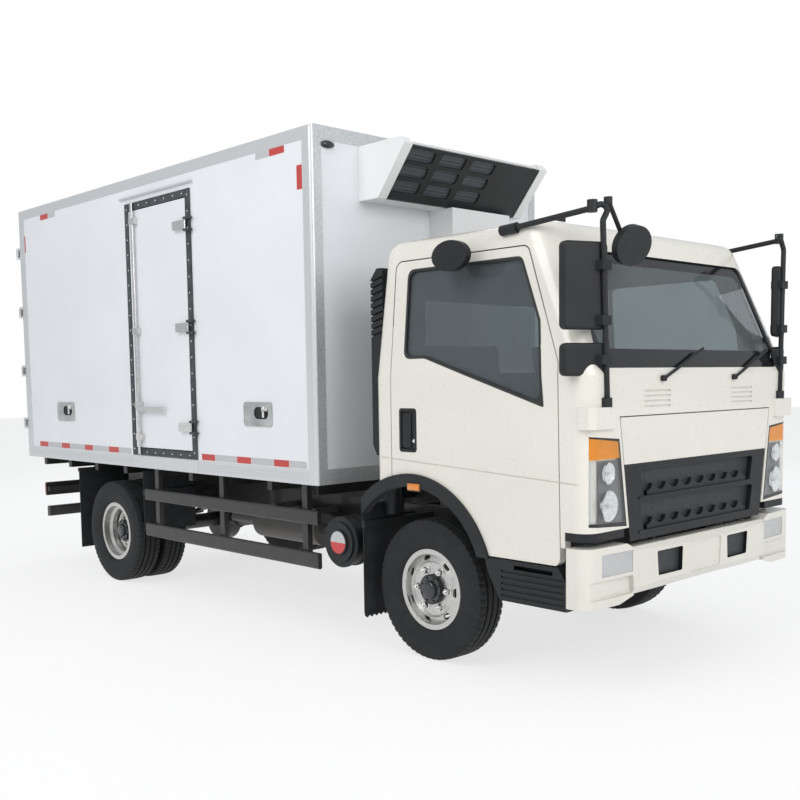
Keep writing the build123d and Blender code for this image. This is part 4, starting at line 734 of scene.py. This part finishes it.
def rivets():
    """Blind rivets along the box's rails and posts, and screws round the side door's frame."""

    def box_rows(made):
        def head(at, axis):
            add_dome(made, at, axis, 0.0045, 0.0022, 8)

        for side in (-1, 1):
            y = side * 1.0252
            for k in range(34):
                x = -2.84 + k * 0.114
                over_door = side < 0 and -1.16 < x < -0.21
                for z in () if over_door else (0.990, 2.944):
                    head((x, y, z), (0, side, 0))
            for k in range(18):
                for x in (0.972, -2.872):
                    head((x, y, 1.04 + k * 0.110), (0, side, 0))
        front = 1.0422
        for side in (-1, 1):
            for k in range(18):
                head((front, side * 0.955, 1.04 + k * 0.110), (1, 0, 0))
        for k in range(17):
            for z in (0.985, 2.945):
                head((front, -0.88 + k * 0.11, z), (1, 0, 0))

    piece("box_rivets", mesh_of(box_rows), "rail", "chassis")

    def frame_rows(made):
        upright = [(x, 1.05 + k * 0.1085) for k in range(17) for x in (-1.092, -0.277)]
        level = [(-1.03 + k * 0.115, z) for k in range(7) for z in (1.030, 2.800)]
        for x, z in upright + level:
            add_dome(made, (x, -1.0312, z), (0, -1, 0), 0.006, 0.003, 8)

    piece("door_frame_rivets", mesh_of(frame_rows), "chrome", "chassis")


HATCHES = ((0.461, 1.326), (-2.208, 1.308))


def hatch_trim():
    """Each vent hatch has an opening with its recessed floor painted black as painted shade, a
    latch over it and four screws.
    """
    for number, (x, z) in enumerate(HATCHES):
        def latch(made, x=x, z=z):
            add_box(made, (x + 0.045, -1.0335, z + 0.020), (x + 0.105, -1.0245, z + 0.060), 0.003)
            add_box(made, (x + 0.060, -1.0390, z - 0.020), (x + 0.082, -1.0290, z + 0.050), 0.003)
            add_dome(made, (x + 0.071, -1.0385, z + 0.040), (0, -1, 0), 0.009, 0.004, 12)
            for dx in (-0.135, 0.135):
                for dz in (-0.062, 0.062):
                    add_dome(made, (x + dx, -1.0290, z + dz), (0, -1, 0), 0.0055, 0.003, 8)

        piece("hatch_latch_%d" % number, mesh_of(latch), "chrome", "chassis",
              smooth=40)

    def near_hatch(centre, dx, dz, half_x, half_z):
        return any(abs(centre.x - x - dx) < half_x and abs(centre.z - z - dz) < half_z
                   for x, z in HATCHES)

    def choose(centre, normal):
        if centre.y < -1.0205 and near_hatch(centre, 0.0, 0.0, 0.1515, 0.0775):
            # Faces deep in each hatch's slot are painted black: painted shade for the dark inside
            # of the opening.
            in_slot = near_hatch(centre, 0.040, 0.008, 0.077, 0.040)
            return "black" if in_slot and centre.y > -1.0285 else "hatch"
        if centre.z > 2.86 and centre.y < -1.022:
            return "rail"
        return "box"

    M["hatch"] = plastic("hatch_plastic", (0.36, 0.38, 0.375), 0.5)
    look_by_face("box_side_walls", ["box", "hatch", "black", "rail"], choose)


def front_wall_trim():
    """A marker lamp high up on each side of the box's front wall."""

    def lamp(made):
        for side in (-1, 1):
            bridge(made, [
                ellipse_ring(
                    made, 1.0385 + rise, side * 0.897, 2.905, 0.052 * share, 0.022 * share, 24)
                for rise, share in ((0.0, 1.0), (0.012, 0.96), (0.020, 0.72), (0.022, 0.02))])

    piece("box_marker_lamps", mesh_of(lamp), "black_gloss", "chassis", smooth=50)


AMBER_FROM = 1.148
LENS_OUTLINE = [(0.694, 0.838), (0.975, 0.850), (0.975, 1.250), (0.752, 1.226)]


def lamp_looks():
    """Clear headlamps with an amber top and a dark surround; red lamps behind."""

    def around(tree, vector):
        return outside_outline(tree, mirror_y(tree, vector), ("Y", "Z"), LENS_OUTLINE, 0.002)

    M["headlamp"] = overlay(
        lens_with_amber("headlamp_lens"), around, (0.012, 0.013, 0.015), 0.2)
    look_all("headlamps", "headlamp")
    look_by_face("chassis_lamps", ["lens", "red_lens"], lambda centre, normal: (
        "red_lens" if centre.x < 0.0 else "lens"))


def mirror_y(tree, vector):
    """The same place with Y made positive, so that one outline serves both sides."""
    parts = add_node(tree, "SeparateXYZ", {0: vector}).outputs
    return add_node(tree, "CombineXYZ", {
        "X": parts["X"], "Y": maths(tree, "ABSOLUTE", parts["Y"]), "Z": parts["Z"],
    }).outputs["Vector"]


def lens_with_amber(name):
    """Clear moulded lens, amber and ribbed from a height up."""
    clear = (0.90, 0.92, 0.93)
    material, surface, tree = shader(name, clear, 0.04, coat=1.0, coat_rough=0.02)
    vector = place_nodes(tree)
    high = maths(tree, "GREATER_THAN", axis_value(tree, vector, "Z"), AMBER_FROM)
    feed(tree, surface, {
        "Base Color": mix_colours(tree, high, (*clear, 1.0), (0.95, 0.36, 0.02, 1.0)),
        "Transmission Weight": span(tree, high, 0.96, 0.35),
        "IOR": 1.08})
    ribs = wave(tree, vector, 36.0, "Z")
    bump(tree, surface, maths(tree, "MULTIPLY", ribs, high), 0.6, 0.003)
    return material


def headlamp_insides():
    """Two reflector bowls with their bulbs behind each clear lens."""
    for side, name in ((-1, "headlamp_bowls_right"), (1, "headlamp_bowls_left")):
        def bowls(made, side=side):
            for y, z, radius, depth in ((0.825, 0.925, 0.074, 0.012), (0.828, 1.080, 0.052, 0.011)):
                front = min(
                    front_of("headlamps", side * (y + way), z) for way in (-radius, radius)) - 0.001
                bridge(made, [
                    ellipse_ring(
                        made, front - depth * (1 - share ** 2), side * y, z,
                        radius * share, radius * share, 32)
                    for share in (1.0, 0.92, 0.75, 0.5, 0.22, 0.05)], smooth=True)
                add_dome(
                    made, (front - depth * 0.97, side * y, z), (1, 0, 0),
                    0.014, depth * 0.8, 16, 1)

        piece(name, mesh_of(bowls), ["mirror", "lens"], "cab")


HOUSING_ROWS = 8
HOUSING_COLUMNS = 12
HOUSING_DEPTH = 0.0145
HOUSING_THICK = 0.002


def headlamp_housings():
    """A dark shell inside each lens, a little behind its face, that closes off the bowls."""

    def build(made):
        for side in (-1, 1):
            rows = []
            for row in range(HOUSING_ROWS + 1):
                z = 0.838 + row * 0.3 / HOUSING_ROWS
                inner = 0.694 + (z - 0.838) * 0.14
                rows.append([])
                for column in range(HOUSING_COLUMNS + 1):
                    y = inner + (0.898 - inner) * column / HOUSING_COLUMNS
                    x = front_of("headlamps", side * y, z) - HOUSING_DEPTH
                    rows[-1].append([
                        made.verts.new((x - behind, side * y, z))
                        for behind in (0.0, HOUSING_THICK)])
            for low, high in zip(rows, rows[1:]):
                for k in range(HOUSING_COLUMNS):
                    for layer in (0, 1):
                        made.faces.new((
                            low[k][layer], low[k + 1][layer], high[k + 1][layer], high[k][layer]))
            edge = rows[0] + [row[-1] for row in rows[1:]] + rows[-1][-2::-1] + [
                row[0] for row in rows[-2:0:-1]]
            for k in range(len(edge)):
                a, b = edge[k], edge[(k + 1) % len(edge)]
                made.faces.new((a[0], b[0], b[1], a[1]))

    piece("headlamp_housings", mesh_of(build), "lamp_dark", "cab", smooth=40)


# A door handle's plate, the four bars of its frame and its grip: spans of x, y and z, rounding
HANDLE_PARTS = (
    ((1.712, 1.842), (0.9705, 0.9760), (1.142, 1.374), 0.0025),
    ((1.712, 1.726), (0.9740, 0.9848), (1.142, 1.374), 0.003),
    ((1.828, 1.842), (0.9740, 0.9848), (1.142, 1.374), 0.003),
    ((1.724, 1.830), (0.9740, 0.9848), (1.142, 1.156), 0.003),
    ((1.724, 1.830), (0.9740, 0.9848), (1.360, 1.374), 0.003),
    ((1.732, 1.800), (0.9760, 0.9838), (1.165, 1.350), 0.005),
)
FLAP_TEETH = 9
FLAP_INNER_Y = 0.662
FLAP_WIDTH = 0.320


def cab_trim():
    """Door handles, side markers, plate screws and the front flaps' toothed hems."""
    for side, body in ((-1, "cab_door_right"), (1, "cab_door_left")):
        def handle(made, side=side):
            for spans in HANDLE_PARTS:
                add_side_box(made, side, *spans)
            add_dome(made, (1.812, side * 0.976, 1.200), (0, side, 0), 0.011, 0.005, 16, 1)

        piece(body + "_handle", mesh_of(handle), ["black", "chrome"], body,
              smooth=40)

    for name, look, slot, spans in (
        ("side_marker_lenses", "amber", "lamp_lens",
         ((1.790, 1.882), (0.999, 1.0095), (0.936, 0.974), 0.004)),
        ("side_marker_bases", "black", "black_plastic",
         ((1.784, 1.888), (0.999, 1.0035), (0.930, 0.980), 0.002)),
    ):
        def markers(made, spans=spans):
            for side in (-1, 1):
                add_side_box(made, side, *spans)

        piece(name, mesh_of(markers), look, "cab", smooth=40)

    def screws(made):
        for y in (-0.105, 0.105):
            for z in (0.545, 0.655):
                add_dome(made, (2.9892, y, z), (1, 0, 0), 0.006, 0.003, 10)

    piece("plate_screws", mesh_of(screws), "chrome", "chassis")

    def teeth(made):
        pitch = FLAP_WIDTH / FLAP_TEETH
        for side in (-1, 1):
            for k in range(FLAP_TEETH):
                y0 = side * (FLAP_INNER_Y + pitch * k)
                y1 = side * (FLAP_INNER_Y + pitch * (k + 1))
                corners = [
                    (y0, 0.197), (y1, 0.197), (y1, 0.180), ((y0 + y1) / 2, 0.166), (y0, 0.180)]
                add_prism(
                    made, [(1.402, y, z) for y, z in corners], [(1.396, y, z) for y, z in corners])

    piece("front_flap_teeth", mesh_of(teeth), "flap", "chassis")


def mirror_faces():
    """Silvered glass in the rearward faces of the mirrors' heads."""

    def build(made):
        turn = math.radians(20.0)
        for side in (-1, 1):
            across = Vector((math.sin(turn), -side * math.cos(turn), 0.0))
            back = -Vector((math.cos(turn), side * math.sin(turn), 0.0))
            for z, tall in ((1.948, 0.400), (1.612, 0.152)):
                centre = Vector((2.905, side * 0.945, z)) + back * 0.0265
                corners = [
                    centre + across * u * 0.106 + Vector((0, 0, v * (tall / 2 - 0.014)))
                    for u, v in ((-1, -1), (1, -1), (1, 1), (-1, 1))]
                add_prism(made, corners, [corner - back * 0.004 for corner in corners])

    piece("mirror_glasses", mesh_of(build), "mirror", "cab")


# A wiper's rubber and its carrier: start, end, half width, lower and upper edge, look
BLADE_PARTS = (
    (0.30, 1.04, 0.004, -0.010, 0.002, 0),
    (0.36, 0.98, 0.007, 0.002, 0.008, 1),
)


def wiper_blades():
    """A rubber blade with its carrier along each wiper arm's outer part."""

    def build(made):
        for y in (-0.380, 0.320):
            foot = Vector((2.981, y, 1.520))
            tip = Vector((2.945, y + 0.420, 1.668))
            along = (tip - foot).normalized()
            out = Vector((1.0, 0.0, 0.25)).normalized()
            side = along.cross(out).normalized()
            for start, end, half, low, high, look in BLADE_PARTS:
                rings = []
                for share in (start, (start + end) / 2, end):
                    at = foot + (tip - foot) * share - out * 0.004
                    rings.append([made.verts.new(at + side * a + out * b) for a, b in (
                        (-half, low), (half, low), (half, high), (-half, high))])
                bridge(made, rings, look)
                made.faces.new(rings[0][::-1]).material_index = look
                made.faces.new(rings[-1]).material_index = look

    piece("wiper_blades", mesh_of(build), ["rubber", "black"], "cab")


def rear_trim():
    """Rubber seals and red and white tape on the rear doors."""
    edge, wide, lap = 0.002, 0.022, 0.024
    for body in ("rear_door_right", "rear_door_left"):
        low, high = nodes[body].bound_box[0], nodes[body].bound_box[6]
        x = min(low[0], high[0])
        y0, y1 = sorted((low[1], high[1]))
        z0, z1 = low[2], high[2]

        def seal(made, x=x, y0=y0, y1=y1, z0=z0, z1=z1):
            for a, b, c, d in ((y0 + edge, y1 - edge, z0 + edge, z0 + wide),
                               (y0 + edge, y1 - edge, z1 - wide, z1 - edge),
                               (y0 + edge, y0 + wide, z0 + lap, z1 - lap),
                               (y1 - wide, y1 - edge, z0 + lap, z1 - lap)):
                add_box(made, (x - 0.0035, a, c), (x + 0.001, b, d), 0.0015)

        piece(body + "_seal", mesh_of(seal), "gasket", body, smooth=40)

        def tape(made, x=x, y0=y0, y1=y1, z0=z0):
            for k in range(4):
                a = y0 + 0.05 + k * (y1 - y0 - 0.10) / 4
                b = a + (y1 - y0 - 0.10) / 4 - 0.004
                add_box(made, (x - 0.0008, a, z0 + 0.10), (x, b, z0 + 0.145), look=k % 2)

        piece(body + "_tape", mesh_of(tape), ["tape_red", "tape_white"], body)


def grille_looks():
    """Mesh behind the grille's teeth and the fridge's louvres, and in the bumper's windows."""
    M["mesh"] = cell_mesh("grille_mesh", (0.030, 0.032, 0.036), 95.0)
    M["louvre"] = cell_mesh("fridge_mesh", (0.055, 0.060, 0.075), 60.0)

    look_by_face("grille", ["black", "mesh"], lambda centre, normal: (
        "mesh" if normal.x > 0.9 and 2.930 < centre.x < 2.940 else "black"))

    def bumper_choice(centre, normal):
        if not (0.215 < abs(centre.y) < 0.46 and 0.54 < centre.z < 0.672):
            return "cream_low"
        if centre.x < 2.9745 and normal.x > 0.9:
            return "mesh"
        return "black" if centre.x < 2.9900 else "cream_low"

    look_by_face("front_bumper", ["cream_low", "black", "mesh"], bumper_choice)

    slope = Vector((0.282, 0.0, -0.235)).normalized()
    origin = Vector((1.201, 0.0, 2.609))

    def fridge_choice(centre, normal):
        deep = (centre - origin).dot(slope) < -0.004
        return "louvre" if deep and normal.dot(slope) > 0.9 else "black"

    look_by_face("fridge_grille", ["black", "louvre"], fridge_choice)

    def disc(made):
        x, z, radius, steps = 1.190, 0.585, 0.066, 20
        for half, look in ((1, 0), (-1, 1)):
            face = made.faces.new([made.verts.new((
                x + radius * math.cos(math.pi * k / steps), -1.0008,
                z + half * radius * math.sin(math.pi * k / steps))) for k in range(steps + 1)])
            face.material_index = look

    piece("air_cleaner_disc", mesh_of(disc), ["tape_white", "red"], "chassis")


def cell_mesh(name, colour, scale):
    """Dark plate with close rows of small holes, painted near black as painted shade seen through
    them.
    """
    material, surface, tree = shader(name, colour, 0.45)
    vector = place_nodes(tree, (1.0, 1.0, 1.15))
    holes = cells(tree, vector, scale, 0.0)
    # The holes' near-black colour is painted shade: the dark space behind the mesh, seen through
    # the holes.
    feed(tree, surface, {
        "Base Color": ramp(tree, holes, (0.001, 0.001, 0.001), colour, (0.25, 0.42)),
        "Roughness": span(tree, noise(tree, vector, 20.0), 0.35, 0.6)})
    bump(tree, surface, holes, 0.8, 0.004)
    return material


# Seats: cushions and backs blown up by the cloth solver, then channelled, over plain bases
SEAT_SPANS = ((-0.890, -0.040), (0.260, 0.800))
CUSHION_Z = (1.022, 1.128)
CUSHION_X = (1.684, 2.216)
BACK_FOOT_X = 1.690
BACK_TOP_X = 1.612
BACK_Z = (1.134, 1.756)
BACK_HALF = 0.050
SEAT_SHRINK = 0.012
VOXEL = 0.012
SWELL_CAP = 0.022
PRESSURE = 4.0
CLOTH_FRAMES = 20
SEAM_INSET = 0.085
SEAM_WIDTH = 0.006


def applied(made):
    """Put the object's modifiers into its mesh."""
    graph = bpy.context.evaluated_depsgraph_get()
    mesh = bpy.data.meshes.new_from_object(made.evaluated_get(graph))
    made.modifiers.clear()
    made.data = mesh
    return mesh


def blown_up(made):
    """Inflate a closed cushion with the cloth solver; no point moves further than the cap."""
    rest = [vert.co.copy() for vert in made.data.vertices]
    cloth = made.modifiers.new("cloth", "CLOTH")
    cloth.settings.use_pressure = True
    cloth.settings.uniform_pressure_force = PRESSURE
    cloth.settings.effector_weights.gravity = 0.0
    cloth.point_cache.frame_start = 1
    cloth.point_cache.frame_end = CLOTH_FRAMES
    for frame_number in range(1, CLOTH_FRAMES + 1):
        bpy.context.scene.frame_set(frame_number)
    mesh = applied(made)
    for vert, start in zip(mesh.vertices, rest):
        move = vert.co - start
        if move.length > SWELL_CAP:
            vert.co = start + move * (SWELL_CAP / move.length)
    bpy.context.scene.frame_set(1)


def channelled(mesh, low, high, top, steps, axis, depth=0.007):
    """Sew channels and a border seam into the side of a cushion that faces along top."""
    normals = [vert.normal.copy() for vert in mesh.vertices]
    for vert, normal in zip(mesh.vertices, normals):
        share = (vert.co.y - low) / (high - low)
        facing = max(0.0, normal.dot(top))
        if facing < 0.25:
            continue
        border = min(share, 1.0 - share) * (high - low)
        seam = math.exp(-((border - SEAM_INSET) / SEAM_WIDTH) ** 2)
        along = vert.co[axis] / steps
        inner = 1.0 if border > SEAM_INSET else 0.0
        rib = math.exp(-((along - round(along)) * steps / SEAM_WIDTH) ** 2) * inner
        vert.co -= top * depth * facing * max(seam, rib)


def seat_form(made, low, high, shape):
    """A rounded slab between two y values with the side outline shape, given as (x, z) points."""
    add_prism(made, [(x, low, z) for x, z in shape], [(x, high, z) for x, z in shape])
    bmesh.ops.recalc_face_normals(made, faces=made.faces)
    bmesh.ops.bevel(
        made, geom=made.edges[:], offset=0.028, segments=3, profile=0.5, affect="EDGES")


def seat_pieces():
    """A padded cushion and back for each seat, and a plain base under them."""
    made_pieces = []
    lean = Vector((BACK_TOP_X - BACK_FOOT_X, 0.0, BACK_Z[1] - BACK_Z[0])).normalized()
    facing = Vector((lean.z, 0.0, -lean.x))
    x0, x1 = CUSHION_X[0] + SEAT_SHRINK, CUSHION_X[1] - SEAT_SHRINK
    z0, z1 = CUSHION_Z[0], CUSHION_Z[1] - SEAT_SHRINK
    cushion = [(x0, z0), (x1, z0), (x1, z1), (x0, z1 - 0.018)]
    half = BACK_HALF - SEAT_SHRINK
    z0, z1 = BACK_Z[0] + SEAT_SHRINK, BACK_Z[1] - SEAT_SHRINK
    back = [(BACK_FOOT_X - half, z0), (BACK_FOOT_X + half, z0),
            (BACK_TOP_X + half - 0.012, z1), (BACK_TOP_X - half + 0.004, z1)]
    for number, (low, high) in enumerate(SEAT_SPANS):
        near, far = low + SEAT_SHRINK, high - SEAT_SHRINK
        for part, outline, up, steps, axis in (
            ("cushion", cushion, Vector((0, 0, 1)), 0.110, 0), ("back", back, facing, 0.115, 2)
        ):
            name = "seat_%s_%d" % (part, number)
            mesh = mesh_of(lambda bm, o=outline: seat_form(bm, near, far, o), name)
            made = piece(name, mesh, "seat", "cab")
            remesh = made.modifiers.new("voxels", "REMESH")
            remesh.mode = "VOXEL"
            remesh.voxel_size = VOXEL
            applied(made)
            blown_up(made)
            smooth = made.modifiers.new("finer", "SUBSURF")
            smooth.levels = 1
            smooth.render_levels = 1
            mesh = applied(made)
            channelled(mesh, near, far, up, steps, axis)
            mesh.shade_smooth()
            if not mesh.materials:
                mesh.materials.append(M["seat"])
            made_pieces.append(made)

        def base_box(made, low=low, high=high):
            add_box(made, (1.700, low + 0.03, 0.9965), (2.190, high - 0.03, 1.020), 0.012)
            for y0, y1 in ((low + 0.05, low + 0.09), (high - 0.09, high - 0.05)):
                add_box(made, (1.650, y0, 0.9965), (1.680, y1, 1.130), 0.004)

        piece("seat_base_%d" % number, mesh_of(base_box), "grey", "cab",
              smooth=40)
    for made in made_pieces:
        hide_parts("seats")


# Stage: a pale floor and backdrop that look white to the camera, with soft lamps
def ray_is(tree, *kinds):
    """1 for a ray of any of the kinds."""
    path = add_node(tree, "LightPath", {}).outputs
    found = path["Is %s Ray" % kinds[0]]
    for kind in kinds[1:]:
        found = maths(tree, "MAXIMUM", found, path["Is %s Ray" % kind])
    return found


FLOOR_WHITENESS = 0.72
WHITE = {"Color": (1.0, 1.0, 1.0, 1.0), "Strength": 1.0}
# Each lamp's place, aim, size, power and colour
LAMPS = (
    ("key_lamp", (2.0, -9.0, 7.5), (0.0, 0.0, 1.3), 6.0, 430.0, (1.0, 0.985, 0.96)),
    ("front_lamp", (9.5, -1.0, 5.0), (2.0, 0.0, 1.3), 5.0, 250.0, (1.0, 0.99, 0.97)),
    ("fill_lamp", (-6.0, 7.0, 6.0), (0.0, 0.0, 1.0), 6.0, 260.0, (0.95, 0.97, 1.0)),
)


def stage():
    mesh = mesh_of(lambda made: bmesh.ops.create_grid(made, x_segments=8, y_segments=8, size=40.0))
    material, surface, tree = shader("floor_paint", (0.93, 0.93, 0.93), 0.75, specular=0.1)
    mottle = noise(tree, place_nodes(tree), 0.8)
    feed(tree, surface, {
        "Base Color": ramp(tree, mottle, (0.92, 0.92, 0.92), (0.95, 0.95, 0.95))})
    seen = maths(
        tree, "MULTIPLY", ray_is(tree, "Camera", "Glossy", "Transmission"), FLOOR_WHITENESS)
    light = add_node(tree, "Emission", WHITE)
    mix_shaders(tree, seen, surface.outputs[0], light.outputs["Emission"])
    mesh.materials.append(material)
    floor = bpy.data.objects.new("floor", mesh)
    bpy.context.scene.collection.objects.link(floor)

    world = bpy.data.worlds.new("studio")
    bpy.context.scene.world = world
    world.use_nodes = True
    tree = world.node_tree
    background = feed(tree, tree.nodes["Background"], {
        "Color": (0.93, 0.96, 1.0, 1.0), "Strength": 0.62})
    white = add_node(tree, "Background", WHITE)
    mix_shaders(
        tree, ray_is(tree, "Camera", "Transmission"), background.outputs["Background"],
        white.outputs["Background"], "World Output")

    for name, at, aim, size, power, colour in LAMPS:
        data = bpy.data.lights.new(name, "AREA")
        data.size = size
        data.energy = power
        data.color = colour
        made = bpy.data.objects.new(name, data)
        made.location = at
        made.rotation_euler = (Vector(aim) - Vector(at)).to_track_quat("-Z", "Y").to_euler()
        bpy.context.scene.collection.objects.link(made)


camera()
stage()
dress_nodes()
screen_looks()
door_looks()
inside_looks()
wheel_looks()
lamp_looks()
grille_looks()
tyres()
wheel_trim()
box_trim()
rivets()
hatch_trim()
front_wall_trim()
headlamp_insides()
headlamp_housings()
cab_trim()
mirror_faces()
wiper_blades()
rear_trim()
seat_pieces()

bpy.context.scene.view_settings.view_transform = "Standard"
bpy.context.view_layer.update()
